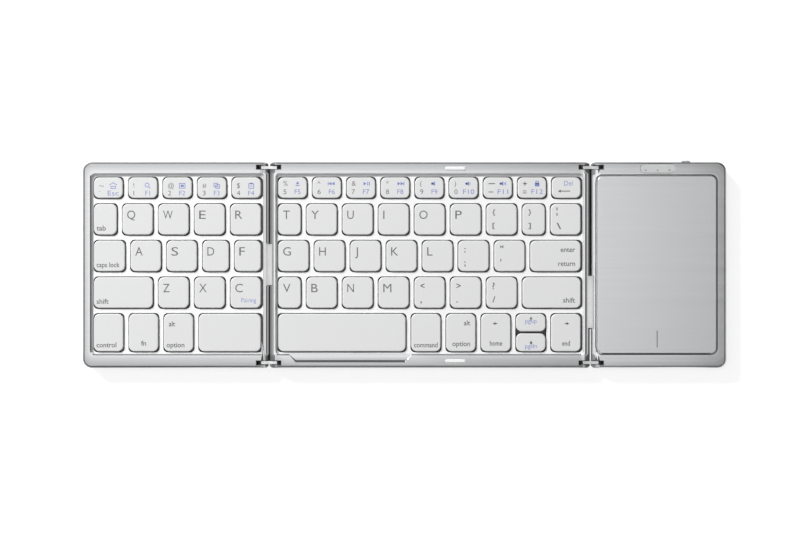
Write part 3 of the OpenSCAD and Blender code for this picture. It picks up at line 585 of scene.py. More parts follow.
def scale_colour(material, colour, factor, place):
    """Lets a factor vary a colour, or what feeds it already, on its way to the shader."""
    tree = material.node_tree
    base = tree.nodes["Principled BSDF"].inputs["Base Color"]
    scale = node_in(tree, "ShaderNodeVectorMath", place, operation="SCALE")
    if colour is None:
        tree.links.new(base.links[0].from_socket, scale.inputs[0])
    else:
        scale.inputs[0].default_value = colour
    tree.links.new(factor, scale.inputs["Scale"])
    tree.links.new(scale.outputs["Vector"], base)


def vary_roughness(material, shader, value, low, high):
    tree = material.node_tree
    ramp = node_in(tree, "ShaderNodeMapRange", (-250, 50), To_Min=low, To_Max=high)
    tree.links.new(value, ramp.inputs["Value"])
    tree.links.new(ramp.outputs["Result"], shader.inputs["Roughness"])


def raise_bump(material, shader, value, strength):
    tree = material.node_tree
    bump = node_in(tree, "ShaderNodeBump", (-250, -250), Strength=strength, Distance=BUMP_DISTANCE)
    tree.links.new(value, bump.inputs["Height"])
    tree.links.new(bump.outputs["Normal"], shader.inputs["Normal"])


def moulded(name, colour, roughness=0.45, density=2500, contrast=0.03, bump=0.05, metallic=0.0, **shader_values):
    """Plastic, rubber, film or cast metal with a fine grain."""
    material, shader = blank_material(name, colour, metallic, roughness, **shader_values)
    grain = add_effect(material, "grain", (-600, 200), Density=density, Contrast=contrast)
    marks = add_effect(material, "handling", (-600, -50), Density=60)
    scale_colour(material, colour, grain.outputs["Tone"], (-250, 350))
    vary_roughness(material, shader, marks.outputs["Mask"], roughness - 0.04, roughness + 0.06)
    raise_bump(material, shader, grain.outputs["Height"], bump)
    return material


def brushed(name, colour, roughness=0.34, density=1400, contrast=0.08, bump=0.06):
    """Metal brushed along the keyboard's length."""
    material, shader = blank_material(name, colour, 1, roughness)
    lines = add_effect(material, "brushed", (-600, 200), Line_Density=density, Contrast=contrast)
    scale_colour(material, colour, lines.outputs["Tone"], (-250, 350))
    vary_roughness(material, shader, lines.outputs["Mask"], roughness - 0.05, roughness + 0.07)
    raise_bump(material, shader, lines.outputs["Height"], bump)
    return material


def curve_of(material, value, points, place):
    """Turns a value into a factor, along straight lines between the points."""
    tree = material.node_tree
    first, last = points[0][0], points[-1][0]
    scaled = node_in(tree, "ShaderNodeMapRange", (place[0] - 200, place[1]), From_Min=first, From_Max=last)
    made = node_in(tree, "ShaderNodeFloatCurve", place)
    tree.links.new(value, scaled.inputs["Value"])
    tree.links.new(scaled.outputs["Result"], made.inputs["Value"])
    curve = made.mapping.curves[0]
    made.mapping.clip_max_y = 2
    curve.points[0].location = (0, points[0][1])
    curve.points[-1].location = (1, points[-1][1])
    for step, factor in points[1:-1]:
        curve.points.new((step - first) / (last - first), factor)
    for point in curve.points:
        point.handle_type = "VECTOR"
    made.mapping.update()
    return made.outputs["Value"]


def sweep(material, points):
    """Paints a falloff of light on a material's colour along the keyboard. The points pair a place on X in mm and a
    factor.
    """
    tree = material.node_tree
    place = node_in(tree, "ShaderNodeTexCoord", (-1300, 900))
    parts = node_in(tree, "ShaderNodeSeparateXYZ", (-1100, 900))
    tree.links.new(place.outputs["Object"], parts.inputs[0])
    in_metres = [(x * MM, factor) for x, factor in points]
    scale_colour(material, None, curve_of(material, parts.outputs["X"], in_metres, (-650, 900)), (-60, 600))
    return material


def rim_metal(name, colour, well, folds, tones):
    """Brushed metal with a painted highlight along its key well, painted shade that darkens it outwards, and bands of
    painted highlight, shade and glow along its folds.

    The well is its centre, half sizes and corner in millimetres. Each fold is the well's side on X, the
    direction of the fold from there, and the curves of the bands' painted highlight and shade on the colour, and of
    their painted glow.
    """
    material = brushed(name, colour, contrast=0.16)
    tree = material.node_tree
    shader = tree.nodes["Principled BSDF"]
    labels = ("Centre_X", "Centre_Y", "Half_Width", "Half_Depth", "Corner")
    distance = add_effect(material, "well_distance", (-1100, 600), **dict(zip(labels, well)))
    # Painted highlight at the well and painted shade away from it
    scale_colour(material, None, curve_of(material, distance.outputs["Distance"], tones, (-650, 600)), (-120, 450))
    metallic = glow = None
    for number, (edge, direction, fold_tones, fold_glow) in enumerate(folds):
        level = -500 - 700 * number
        reach = add_effect(material, "fold_distance", (-1100, level), Edge=edge, Direction=direction,
                           Centre_Y=well[1], Half_Depth=well[3]).outputs["Distance"]
        tone = curve_of(material, reach, fold_tones, (-650, level))
        # Painted highlight and shade in bands along the fold
        scale_colour(material, None, tone, (-90 + 30 * number, 500))
        metal = curve_of(material, reach, FOLD_METAL, (-650, level - 250))
        metallic = math_in(tree, "MINIMUM", metallic, metal, (-350, level - 250)) if metallic else metal
        # Painted glow on the bright bands, where no lamp is
        if fold_glow:
            glow = curve_of(material, reach, fold_glow, (-650, level - 450))
    tree.links.new(metallic, shader.inputs["Metallic"])
    if glow:
        shader.inputs["Emission Strength"].default_value = 1
        tree.links.new(glow, shader.inputs["Emission Color"])
    return material


def well_distance(point, well):
    """Distance of a point from a well's rounded outline, in millimetres."""
    x = abs(point.x / MM - well[0]) - well[2] + well[4]
    y = abs(point.y / MM - well[1]) - well[3] + well[4]
    return math.hypot(max(x, 0), max(y, 0)) + min(max(x, y), 0) - well[4]


def well_of(section):
    """Centre, half sizes and corner of a section's well in millimetres."""
    if section == "right":
        low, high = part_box("touchpad")
        left_lip, right_lip, end_lip = -PAD_GAP, -PAD_GAP, -PAD_GAP
    else:
        low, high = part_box(section + "_key_web")
        left_lip, right_lip, end_lip = WEB_LIP if section == "left" else -FOLD_GAP, -FOLD_GAP, WEB_LIP
    left, right = low.x + left_lip, high.x - right_lip
    front, back = low.y + end_lip, high.y - end_lip
    return ((left + right) / 2 / MM, (front + back) / 2 / MM, (right - left) / 2 / MM,
            (back - front) / 2 / MM, WELL_CORNER / MM)


def well_block(section):
    """Left, right, front and back of a section's well."""
    x, y, half_width, half_depth, _ = well_of(section)
    return (x - half_width) * MM, (x + half_width) * MM, (y - half_depth) * MM, (y + half_depth) * MM


# Painted highlight and painted shade on the frames' metal: factors on its colour by the distance from a well in
# millimetres, bright at the well and darker outwards, where a crowned rim would turn from the light
RIM_TONES = ((0.0, 0.95), (0.6, 1.0), (1.2, 1.0), (1.8, 0.9), (3.0, 0.81), (4.2, 0.72), (5.0, 0.66), (9.0, 0.6))
# The same painted highlight and shade around the touchpad's well
PAD_RIM_TONES = ((0.0, 1.1), (0.8, 1.1), (1.3, 1.0), (3.2, 1.0), (4.6, 0.85), (9.0, 0.8))
# Painted light on the right frame along X in mm: brighter over most of it and darker at its right end, which the light
# reaches less
RIGHT_SWEEP = ((90, 1.15), (112, 1.17), (135, 1.13), (153, 0.92))
# Painted bands beside the folds by the distance from the well, where the rounded fold edges turn towards and away from
# the light: factors for the colour that paint highlight and shade, and the painted glow of the bright lines. In these
# bands the metal turns to a plain colour, so that the painted light shows
FOLD_METAL = ((-1.3, 1.0), (-1.1, 0.0), (3.4, 0.0))
LEFT_WING_TONES = ((-1.3, 1.0), (-0.1, 1.1), (0.0, 1.4), (0.95, 1.4), (1.05, 0.4), (1.5, 0.4), (1.6, 1.3),
                   (2.35, 1.3), (2.5, 0.5))
LEFT_WING_GLOW = ((-0.1, 0.0), (0.0, 0.3), (0.95, 0.3), (1.05, 0.02), (1.5, 0.02), (1.6, 0.18), (2.35, 0.18),
                  (2.5, 0.0))
MIDDLE_LEFT_TONES = ((-1.3, 1.0), (-0.1, 1.0), (0.0, 1.1), (0.75, 1.1), (0.85, 0.52), (1.2, 0.47), (1.7, 0.38),
                     (2.2, 0.3), (3.0, 0.25))
MIDDLE_RIGHT_TONES = ((-1.3, 1.0), (-0.1, 1.1), (0.0, 1.4), (0.55, 1.4), (0.65, 0.35), (1.65, 0.35), (1.75, 1.3),
                      (2.1, 1.3), (2.3, 0.5), (3.0, 0.3))
MIDDLE_RIGHT_GLOW = ((-0.1, 0.0), (0.0, 0.3), (0.55, 0.3), (0.65, 0.02), (1.65, 0.02), (1.75, 0.17), (2.1, 0.17),
                     (2.3, 0.04), (2.5, 0.0))
RIGHT_WING_TONES = ((-1.3, 1.0), (-0.1, 0.9), (0.0, 0.82), (1.2, 0.82), (1.3, 0.56), (1.7, 0.5), (1.8, 0.32),
                    (3.0, 0.3))

materials = {}


def make_materials():
    scene = bpy.context.scene
    keys, metal, ink = scene.keyboard_keys, scene.keyboard_metal, scene.keyboard_letters
    wells = {section: well_of(section) for section in ("left", "middle", "right")}
    sides = {section: (well[0] - well[2], well[0] + well[2]) for section, well in wells.items()}
    folds = {
        "left": [(sides["left"][1], 1, LEFT_WING_TONES, LEFT_WING_GLOW)],
        "middle": [(sides["middle"][0], -1, MIDDLE_LEFT_TONES, None),
                   (sides["middle"][1], 1, MIDDLE_RIGHT_TONES, MIDDLE_RIGHT_GLOW)],
        "right": [(sides["right"][0], -1, RIGHT_WING_TONES, None)],
    }
    materials.update(
        frame_metal=brushed("Frame Metal", metal.frame_colour),
        left_frame=rim_metal("Left Frame Metal", metal.frame_colour, wells["left"], folds["left"], RIM_TONES),
        middle_frame=rim_metal("Middle Frame Metal", metal.frame_colour, wells["middle"], folds["middle"],
                               RIM_TONES),
        right_frame=sweep(rim_metal("Right Frame Metal", metal.frame_colour, wells["right"], folds["right"],
                                    PAD_RIM_TONES), RIGHT_SWEEP),
        # Very dark grey for the joint line above the chamfer, darkened as painted shade, and for the painted shade
        # lines at the notch, the touchpad's well and the hinge pockets
        seam=moulded("Seam Line", (0.08, 0.08, 0.082), 0.5, 2500, 0.2, 0.05),
        # Dark metal for the back chamfer only: painted shade
        chamfer=brushed("Chamfer Metal", (0.2, 0.202, 0.206), 0.5, 1400, 0.1, 0.04),
        # Greys of the well slopes, painted shade: darker on the left and right faces than on the front and back
        slope=moulded("Well Slope", (0.5, 0.505, 0.51), 0.4, 3500, 0.04, 0.04),
        back_slope=moulded("Back Well Slope", (0.62, 0.625, 0.63), 0.4, 3500, 0.04, 0.04),
        # Dark grey of the painted shade line along the key wells' front and the left wing's left side
        front_line=moulded("Front Well Line", (0.17, 0.172, 0.175), 0.4, 3500, 0.04, 0.04),
        # Near black of the hinge links' ends: painted shade
        link_collar=moulded("Link Collar", (0.035, 0.035, 0.037), 0.45, 3000, 0.2, 0.08),
        cover_edge=moulded("Cover Edge", (0.7, 0.705, 0.715), 0.3, 4200, 0.03, 0.04, metallic=1.0),
        frame_edge=brushed("Polished Edge", (0.86, 0.865, 0.875), 0.2, 900, 0.03, 0.01),
        cover_metal=moulded("Cover Metal", metal.cover_colour, 0.42, 4200, 0.05, 0.08, metallic=1.0),
        touchpad_film=brushed("Touchpad Face", metal.pad_colour, 0.38, 1700, 0.06, 0.04),
        keycap_plastic=moulded("Keycap Plastic", keys.cap_colour, 0.42, 5200, 0.02, 0.04),
        web_plastic=moulded("Web Plastic", keys.web_colour, 0.38, 4200, 0.015, 0.02),
        ink=moulded("Grey Ink", ink.ink_colour, 0.6, 6000, 0.1, 0.02),
        second_ink=moulded("Blue Ink", ink.second_ink_colour, 0.6, 6000, 0.1, 0.02),
        plate_steel=brushed("Plate Steel", (0.58, 0.59, 0.6), 0.4, 900, 0.05, 0.03),
        membrane_film=moulded("Membrane Film", (0.1, 0.1, 0.11), 0.3, 1500, 0.1, 0.02),
        dome_rubber=moulded("Dome Rubber", (0.75, 0.76, 0.77), 0.6, 2500, 0.05, 0.06),
        scissor_plastic=moulded("Scissor Plastic", (0.85, 0.85, 0.84), 0.5, 2500, 0.03, 0.04),
        foot_rubber=moulded("Foot Rubber", (0.05, 0.05, 0.052), 0.75, 2200, 0.25, 0.3),
        screw_steel=brushed("Screw Steel", (0.5, 0.5, 0.51), 0.3, 2200, 0.08, 0.05),
        pad_rubber=moulded("Pad Rubber", (0.93, 0.93, 0.93), 0.6, 2500, 0.02, 0.08),
        magnet_nickel=brushed("Magnet Nickel", (0.66, 0.65, 0.62), 0.25, 700, 0.04, 0.02),
        board_green=moulded("Board Green", (0.03, 0.16, 0.07), 0.4, 900, 0.25, 0.05),
        battery_pouch=moulded("Battery Pouch", (0.6, 0.61, 0.63), 0.35, 500, 0.06, 0.15, metallic=0.8),
        window_plastic=moulded("Window Plastic", (0.6, 0.605, 0.61), 0.3, 3000, 0.02, 0.02),
        dot_glass=moulded("Light Dots", (0.3, 0.3, 0.305), 0.3, 3000, 0.1, 0.02),
        socket_steel=brushed("Socket Steel", (0.62, 0.63, 0.64), 0.28, 1200, 0.05, 0.03),
        button_metal=brushed("Button Metal", (0.6, 0.605, 0.61), 0.3, 1600, 0.06, 0.04),
        link_steel=brushed("Link Steel", (0.85, 0.855, 0.865), 0.4, 1500, 0.12, 0.08),
        pin_steel=brushed("Pin Steel", (0.5, 0.5, 0.51), 0.25, 2000, 0.05, 0.03),
        bridge_plastic=moulded("Bridge Plastic", (0.03, 0.03, 0.032), 0.5, 2500, 0.2, 0.08),
        # The ribbon's emission is a painted glow that brightens it in the deep fold
        ribbon_film=moulded("Ribbon Film", (0.95, 0.95, 0.94), 0.4, 1500, 0.03, 0.03,
                            Emission_Color=(1, 1, 1, 1), Emission_Strength=0.3),
    )


class KEYBOARD_OT_nodes(bpy.types.Operator):
    """Gives every carried-over node the finish of its material slot"""
    bl_idname = "keyboard.nodes"
    bl_label = "Finish the Inner Pieces"

    def execute(self, context):
        make_materials()
        for node, part in frame["nodes"].items():
            part.data.materials.clear()
            part.data.materials.append(materials[node_slots[node]])
        return {"FINISHED"}


# Keycaps

def shape_cap(width, depth, bottom, top):
    """Models one keycap about the origin: rounded corners, soft top edge and hollow underside."""
    keys = bpy.context.scene.keyboard_keys
    cap = add_block("cap", (-width / 2, -depth / 2, bottom), (width / 2, depth / 2, top))
    round_corners(cap, keys.corner_radius)
    with editing(cap):
        choose(cap, "FACE", faces_down)
        bpy.ops.mesh.inset(thickness=keys.wall)
        bpy.ops.mesh.extrude_region_move(TRANSFORM_OT_translate={"value": (0, 0, top - bottom - keys.roof)})
    round_rim(cap, keys.edge_softness, 4)
    round_rim(cap, 0.08 * MM, 1, side="bottom")
    return smooth(tidy_mesh(cap), 30)


def cap_boxes(node):
    """Boxes of a node's keycaps, trimmed to the gaps that show between them."""
    keys = bpy.context.scene.keyboard_keys
    back = keys.number_trim if node.endswith("number_keys") else keys.back_trim
    # The two short arrow keys share an opening, so no web lies between them
    front_gap = 0 if node == "up_arrow_key" else keys.shaded_gap
    back_gap = 0 if node == "down_arrow_key" else back + keys.lit_gap
    return [(Vector((low.x + keys.side_trim + keys.lit_gap, low.y + front_gap, low.z)),
             Vector((high.x - keys.side_trim - keys.shaded_gap, high.y - back_gap, high.z)))
            for low, high in boxes_in(node)]


class KEYBOARD_OT_keycaps(bpy.types.Operator):
    """Models the keycaps and sets one on each key of both sections"""
    bl_idname = "keyboard.keycaps"
    bl_label = "Model the Keycaps"

    def execute(self, context):
        models = {}
        for node in KEY_NODES:
            caps = []
            for low, high in cap_boxes(node):
                size = (round((high.x - low.x) / MM, 2), round((high.y - low.y) / MM, 2))
                if size not in models:
                    models[size] = shape_cap(size[0] * MM, size[1] * MM, low.z, high.z)
                caps.append(copy_at(models[size], ((low.x + high.x) / 2, (low.y + high.y) / 2, 0)))
            cap_set = merge(node + "_caps", caps)
            dress(cap_set, body_of(node), [materials["keycap_plastic"]], [node])
        for model in models.values():
            drop(model)
        return {"FINISHED"}


# Lettering. Each key has a list of marks: what is written, how, and where.

LEGENDS = {
    "left_number_keys": [
        [("sign_top", "~"), ("sign_low", "`"), ("icon", "home"), ("blue_low", "Esc")],
        [("sign_top", "!"), ("sign_low", "1"), ("icon", "search"), ("blue_low", "F1")],
        [("sign_top", "@"), ("sign_low", "2"), ("icon", "select"), ("blue_low", "F2")],
        [("sign_top", "#"), ("sign_low", "3"), ("icon", "copy"), ("blue_low", "F3")],
        [("sign_top", "$"), ("sign_low", "4"), ("icon", "paste"), ("blue_low", "F4")]],
    "tab_key": [[("word_left", "tab")]],
    "left_top_row_keys": [[("letter", c)] for c in "QWER"],
    "left_home_row_keys": [[("word_left", "caps lock")]] + [[("letter", c)] for c in "ASDF"],
    "left_shift_key": [[("word_left", "shift")]],
    "left_lower_row_keys": [[("letter", "Z")], [("letter", "X")], [("letter", "C"), ("blue_word", "Pairing")]],
    "left_modifier_keys": [[("word_left", "control")], [("word_mid", "fn")],
                           [("word_top_left", "alt"), ("word_left", "option")]],
    "left_space_key": [[]],
    "middle_number_keys": [
        [("sign_top", "%"), ("sign_low", "5"), ("icon", "eject"), ("blue_low", "F5")],
        [("sign_top", "^"), ("sign_low", "6"), ("icon", "back"), ("blue_low", "F6")],
        [("sign_top", "&"), ("sign_low", "7"), ("icon", "play"), ("blue_low", "F7")],
        [("sign_top", "*"), ("sign_low", "8"), ("icon", "next"), ("blue_low", "F8")],
        [("sign_top", "("), ("sign_low", "9"), ("icon", "mute"), ("blue_low", "F9")],
        [("sign_top", ")"), ("sign_low", "0"), ("icon", "quieter"), ("blue_low", "F10")],
        [("sign_top", "_"), ("sign_low", "-"), ("icon", "louder"), ("blue_low", "F11")],
        [("sign_top", "+"), ("sign_low", "="), ("icon", "lock"), ("blue_low", "F12")],
        [("blue_top", "Del"), ("icon_long_arrow", "")]],
    "middle_top_row_keys": [[("letter", c)] for c in "TYUIOP"]
    + [[("pair", "{"), ("pair_low", "[")], [("pair", "}"), ("pair_low", "]")],
       [("pair", "|"), ("pair_low", "\\")]],
    "middle_home_row_keys": [[("letter", c)] for c in "GHJKL"]
    + [[("pair", ":"), ("pair_low", ";")], [("pair", '"'), ("pair_low", "'")]],
    "enter_key": [[("word_top_right", "enter"), ("word_right", "return")]],
    "middle_lower_row_keys": [[("letter", c)] for c in "VBNM"]
    + [[("pair", "<"), ("pair_low", ",")], [("pair", ">"), ("pair_low", ".")],
       [("pair", "?"), ("pair_low", "/")]],
    "right_shift_key": [[("word_right", "shift")]],
    "space_bar": [[]],
    "middle_modifier_keys": [[("word_left", "command")],
                             [("word_top_right", "alt"), ("word_right", "option")]],
    "left_arrow_key": [[("arrow", "left"), ("word_mid", "home")]],
    "up_arrow_key": [[("arrow_small", "up"), ("blue_upper", "pgup")]],
    "down_arrow_key": [[("arrow_small", "down"), ("blue_lower", "pgdn")]],
    "right_arrow_key": [[("arrow", "right"), ("word_mid", "end")]],
}


# Widths of capitals and digits, as shares of their height
GLYPH_WIDTHS = {
    "A": 0.87, "B": 0.77, "C": 0.89, "D": 0.82, "E": 0.78, "F": 0.66, "G": 0.92, "H": 0.79, "I": 0.135,
    "K": 0.82, "L": 0.64, "M": 0.96, "N": 0.79, "O": 0.98, "P": 0.76, "Q": 0.97, "R": 0.83,
    "S": 0.81, "T": 0.79, "U": 0.77, "V": 0.87, "W": 1.13, "X": 0.88, "Y": 0.9, "Z": 0.76,
    "2": 0.67, "3": 0.67, "4": 0.67, "5": 0.67, "6": 0.67, "7": 0.67, "8": 0.67, "9": 0.67, "0": 0.67,
}
# Widths of words and signs in millimetres
TEXT_WIDTHS = {
    "tab": 4.4, "caps lock": 11.0, "shift": 5.7, "control": 9.4, "fn": 2.4, "alt": 3.0, "option": 8.5,
    "command": 11.2, "enter": 6.9, "return": 8.0, "home": 5.9, "end": 3.8, "pgup": 5.4, "pgdn": 5.7,
    "Pairing": 7.0, "Esc": 5.2, "Del": 3.9, "F10": 5.3, "F11": 5.0, "F12": 5.4, "@": 2.9, "~": 2.3,
    '"': 1.5, "\\": 2.2, "/": 1.4, "<": 2.0, ">": 2.0,
}
TALL_SIGNS = "{}[]\\/"
# Straight strokes of the signs that are drawn and not written: centre, width and height in millimetres
STROKES = {
    "_": ((1.5, 1.0, 3.1, 0.42),),
    "-": ((1.15, 1.0, 2.3, 0.42),),
    "+": ((1.0, 1.0, 1.95, 0.4), (1.0, 1.0, 0.4, 1.95)),
    "=": ((0.9, 0.55, 1.8, 0.36), (0.9, 1.5, 1.8, 0.36)),
    "|": ((0.2, 0.65, 0.5, 1.3), (0.2, 3.2, 0.5, 1.4)),
}
# How far an outline moves out, as a share of the text's size
REGULAR, BOLD = -0.004, 0.012
INK_LIFT = 0.012 * MM
cap_share = {}


def ink_box(piece):
    points = [v.co for v in piece.data.vertices]
    return (min(p.x for p in points), max(p.x for p in points), min(p.y for p in points), max(p.y for p in points))


def lay_text(text, size, weight):
    leave_all()
    bpy.ops.object.text_add(location=(0, 0, 0))
    curve = bpy.context.object.data
    curve.body = text
    curve.size = size
    curve.offset = weight * size
    curve.resolution_u = 3
    bpy.ops.object.convert(target="MESH")
    return bpy.context.object


def write(text, height, x, y, z, side="LEFT", weight=REGULAR):
    """Writes a text flat on a key. The height is a capital's, y the base line and x the given side."""
    if text in STROKES:
        return merge("strokes", [bar(x + a * MM, y + b * MM, z, w * MM, d * MM) for a, b, w, d in STROKES[text]])
    if not cap_share:
        probe = lay_text("H", 1, 0)
        cap_share["H"] = ink_box(probe)[3]
        drop(probe)
    piece = lay_text(text, height / cap_share["H"], weight)
    left, right, bottom, top = ink_box(piece)
    width = TEXT_WIDTHS[text] * MM if text in TEXT_WIDTHS else height * GLYPH_WIDTHS.get(text, 0)
    stretch = width / (right - left) if width else 1
    lift, rise = (-bottom * height / (top - bottom), height / (top - bottom)) if text in TALL_SIGNS else (0, 1)
    anchor = {"LEFT": left, "CENTER": (left + right) / 2, "RIGHT": right}[side]
    piece.scale = (stretch, rise, 1)
    piece.location = (x - anchor * stretch, y + lift, z)
    return settle(piece)


def bar(x, y, z, width, depth):
    leave_all()
    bpy.ops.mesh.primitive_plane_add(size=1, location=(x, y, z))
    piece = bpy.context.object
    piece.scale = (width, depth, 1)
    return settle(piece)


def triangle(x, y, z, size, turn):
    """A filled triangle whose point looks along the turn, in degrees from the right."""
    leave_all()
    bpy.ops.mesh.primitive_circle_add(vertices=3, radius=size, fill_type="NGON", location=(x, y, z),
                                      rotation=(0, 0, math.radians(turn - 90)))
    return settle(bpy.context.object)


def outline(piece, line):
    """Leaves only the outline of a flat piece, as wide as the line."""
    with editing(piece):
        bpy.ops.mesh.select_all(action="SELECT")
        bpy.ops.mesh.inset(thickness=line)
        bpy.ops.mesh.delete(type="FACE")
    return piece


def ring(x, y, z, width, depth, line):
    return outline(bar(x, y, z, width, depth), line)


def hoop(x, y, z, radius, line):
    return outline(add_disc("hoop", x, y, z, radius, 16), line)


def roof(x, y, z, width, height, line):
    """A gable drawn as two sloping strokes."""
    slope = math.atan2(height, width / 2)
    strokes = []
    for turn in (1, -1):
        stroke = bar(0, 0, 0, math.hypot(height, width / 2), line)
        stroke.rotation_euler.z = slope * turn
        stroke.location = (x - turn * width / 4, y + height / 2, z)
        strokes.append(settle(stroke))
    return merge("roof", strokes)


# Small drawings, up to 3.8 mm wide and 2.8 mm high: shape, place about the centre and sizes in millimetres.
# A triangle's last number is where it points, in degrees from the right.
ICON_LINE = 0.32
SPEAKER = (("bar", -1.1, 0, 0.8, 1.0), ("triangle", -0.4, 0, 1.25, 180))
ICONS = {
    "home": (("roof", 0, 0.35, 3.7, 1.1), ("ring", 0, -0.75, 2.5, 1.3)),
    "search": (("hoop", -0.3, 0.35, 1.1), ("bar", 0.9, -0.95, 0.8, ICON_LINE * 1.4)),
    "select": (("ring", 0, 0, 3.0, 2.6), ("bar", 0, 0, 1.5, 1.1)),
    "copy": (("ring", -0.4, 0.35, 2.1, 2.0), ("ring", 0.45, -0.35, 2.1, 2.0)),
    "paste": (("ring", 0, -0.15, 2.6, 2.5), ("bar", 0, 1.15, 1.3, 0.5), ("bar", 0, -0.15, 1.3, ICON_LINE)),
    "eject": (("triangle", 0, 0.25, 0.95, 90), ("bar", 0, -0.85, 1.9, 0.4)),
    "back": (("bar", -1.75, 0, ICON_LINE, 1.7), ("triangle", -0.65, 0, 0.98, 180), ("triangle", 0.85, 0, 0.98, 180)),
    "next": (("bar", 1.75, 0, ICON_LINE, 1.7), ("triangle", 0.65, 0, 0.98, 0), ("triangle", -0.85, 0, 0.98, 0)),
    "play": (("triangle", -0.7, 0, 0.98, 0), ("bar", 0.8, 0, 0.4, 1.7), ("bar", 1.6, 0, 0.4, 1.7)),
    "mute": SPEAKER,
    "quieter": SPEAKER + (("bar", 0.7, 0, ICON_LINE, 1.0),),
    "louder": SPEAKER + (("bar", 0.7, 0, ICON_LINE, 1.0), ("bar", 1.3, 0, ICON_LINE, 1.7)),
    "lock": (("bar", 0, -0.45, 2.2, 1.7), ("ring", 0, 0.65, 1.5, 1.4)),
}
DRAWN = {"roof": roof, "ring": ring, "hoop": hoop}


def icon(kind, x, y, z):
    pieces = []
    for shape, right, up, *sizes in ICONS[kind]:
        place = (x + right * MM, y + up * MM, z)
        if shape == "triangle":
            pieces.append(triangle(*place, sizes[0] * MM, sizes[1]))
        elif shape == "bar":
            pieces.append(bar(*place, sizes[0] * MM, sizes[1] * MM))
        else:
            pieces.append(DRAWN[shape](*place, *(size * MM for size in sizes), ICON_LINE * MM))
    return pieces


ARROW_HEAD = 0.85 * MM
ARROW_SHAFT = 0.4 * MM
# Arrows: turn, edge on X and Y of the key with steps in millimetres, and length
ARROWS = {
    ("icon_long_arrow", ""): (180, "left", 6.4, "front", 3.5, 5.0),
    ("arrow", "left"): (180, "middle", 0, "back", -5.0, 1.4),
    ("arrow", "right"): (0, "middle", 0, "back", -5.0, 1.4),
    ("arrow_small", "up"): (90, "middle", 0, "back", -3.1, 1.2),
    ("arrow_small", "down"): (-90, "middle", 0, "back", -4.0, 1.2),
}
# Texts: a height or the name of its setting, edge on X and Y with steps in millimetres, side and weight
SECOND_COLUMN = 9.4
WORDS = {
    "letter": ("letter_height", "left", 2.5, "back", -3.55, "LEFT", REGULAR),
    "pair": (3.0, "left", 3.0, "back", -6.0, "LEFT", BOLD),
    "pair_low": (3.0, "left", 3.0, "back", -12.4, "LEFT", BOLD),
    "sign_top": ("sign_height", "left", 2.6, "sign", 0, "LEFT", REGULAR),
    "sign_low": ("sign_height", "left", 2.6, "base", 0, "LEFT", REGULAR),
    "blue_low": ("sign_height", "left", SECOND_COLUMN, "base", 0, "CENTER", REGULAR),
    "blue_top": ("sign_height", "left", 8.0, "back", -4.6, "CENTER", REGULAR),
    "blue_word": (2.1, "right", -2.5, "front", 2.9, "RIGHT", REGULAR),
    "blue_upper": (2.1, "middle", 0, "front", 4.0, "CENTER", REGULAR),
    "blue_lower": (2.1, "middle", 0, "front", 1.8, "CENTER", REGULAR),
    "word_left": ("word_height", "left", 1.5, "front", 2.2, "LEFT", BOLD),
    "word_right": ("word_height", "right", -2.9, "front", 2.8, "RIGHT", BOLD),
    "word_mid": ("word_height", "middle", 0, "front", 3.0, "CENTER", BOLD),
    "word_top_left": ("word_height", "left", 2.6, "back", -6.3, "LEFT", BOLD),
    "word_top_right": ("word_height", "right", -2.9, "back", -5.8, "RIGHT", BOLD),
}


def arrow(x, y, z, turn, length):
    """A shaft with a head that looks along the turn."""
    angle = math.radians(turn)
    head = triangle(x + math.cos(angle) * length / 2, y + math.sin(angle) * length / 2, z, ARROW_HEAD, turn)
    flat = abs(math.cos(angle)) > 0.5
    return [head, bar(x, y, z, length if flat else ARROW_SHAFT, ARROW_SHAFT if flat else length)]


def key_marks(marks, low, high):
    """Makes a key's marks: a list in grey ink and a list in blue ink."""
    ink = bpy.context.scene.keyboard_letters
    grey, blue = [], []
    z = high.z + INK_LIFT
    # The left wing's number row is printed a little lower than the middle's
    low_icon, low_sign, low_base = (4.7, 5.7, 1.45) if low.x < FOLDS[0] else (3.7, 4.7, 2.1)
    across = {"left": low.x, "middle": (low.x + high.x) / 2, "right": high.x}
    along = {"front": low.y, "back": high.y, "sign": high.y - low_sign * MM, "base": low.y + low_base * MM}
    for kind, text in marks:
        if kind == "icon":
            blue += icon(text, low.x + SECOND_COLUMN * MM, high.y - low_icon * MM, z)
        elif (kind, text) in ARROWS:
            turn, side, right, end, up, length_mm = ARROWS[kind, text]
            grey += arrow(across[side] + right * MM, along[end] + up * MM, z, turn, length_mm * MM)
        else:
            size, side, right, end, up, anchor, weight = WORDS[kind]
            height = getattr(ink, size) if isinstance(size, str) else size * MM
            y = along[end] + up * MM - (height if kind == "letter" else 0)
            written = write(text, height, across[side] + right * MM, y, z, anchor, weight)
            (blue if kind.startswith("blue") else grey).append(written)
    return grey, blue


class KEYBOARD_OT_lettering(bpy.types.Operator):
    """Prints letters, digits, signs and plain words on the keycaps"""
    bl_idname = "keyboard.lettering"
    bl_label = "Print the Lettering"

    def execute(self, context):
        for node in KEY_NODES:
            prints = {"ink": [], "second_ink": []}
            for marks, (low, high) in zip(LEGENDS[node], boxes_in(node), strict=True):
                grey, blue = key_marks(marks, low, high)
                prints["ink"] += grey
                prints["second_ink"] += blue
            for finish, pieces in prints.items():
                if pieces:
                    name = node + ("_letters" if finish == "ink" else "_second_letters")
                    dress(merge(name, pieces), body_of(node), [materials[finish]])
        return {"FINISHED"}


# Frames, covers and the web

NOTCH_FLOOR = 0.8 * MM
SLOPE_DROP = 0.55 * MM
SLOPE_FOOT = 0.05 * MM
# The front wall of the thumb notch leans: its upper edge moves forward and its lower edge back
NOTCH_LEAN = (-0.6 * MM, 0.5 * MM)
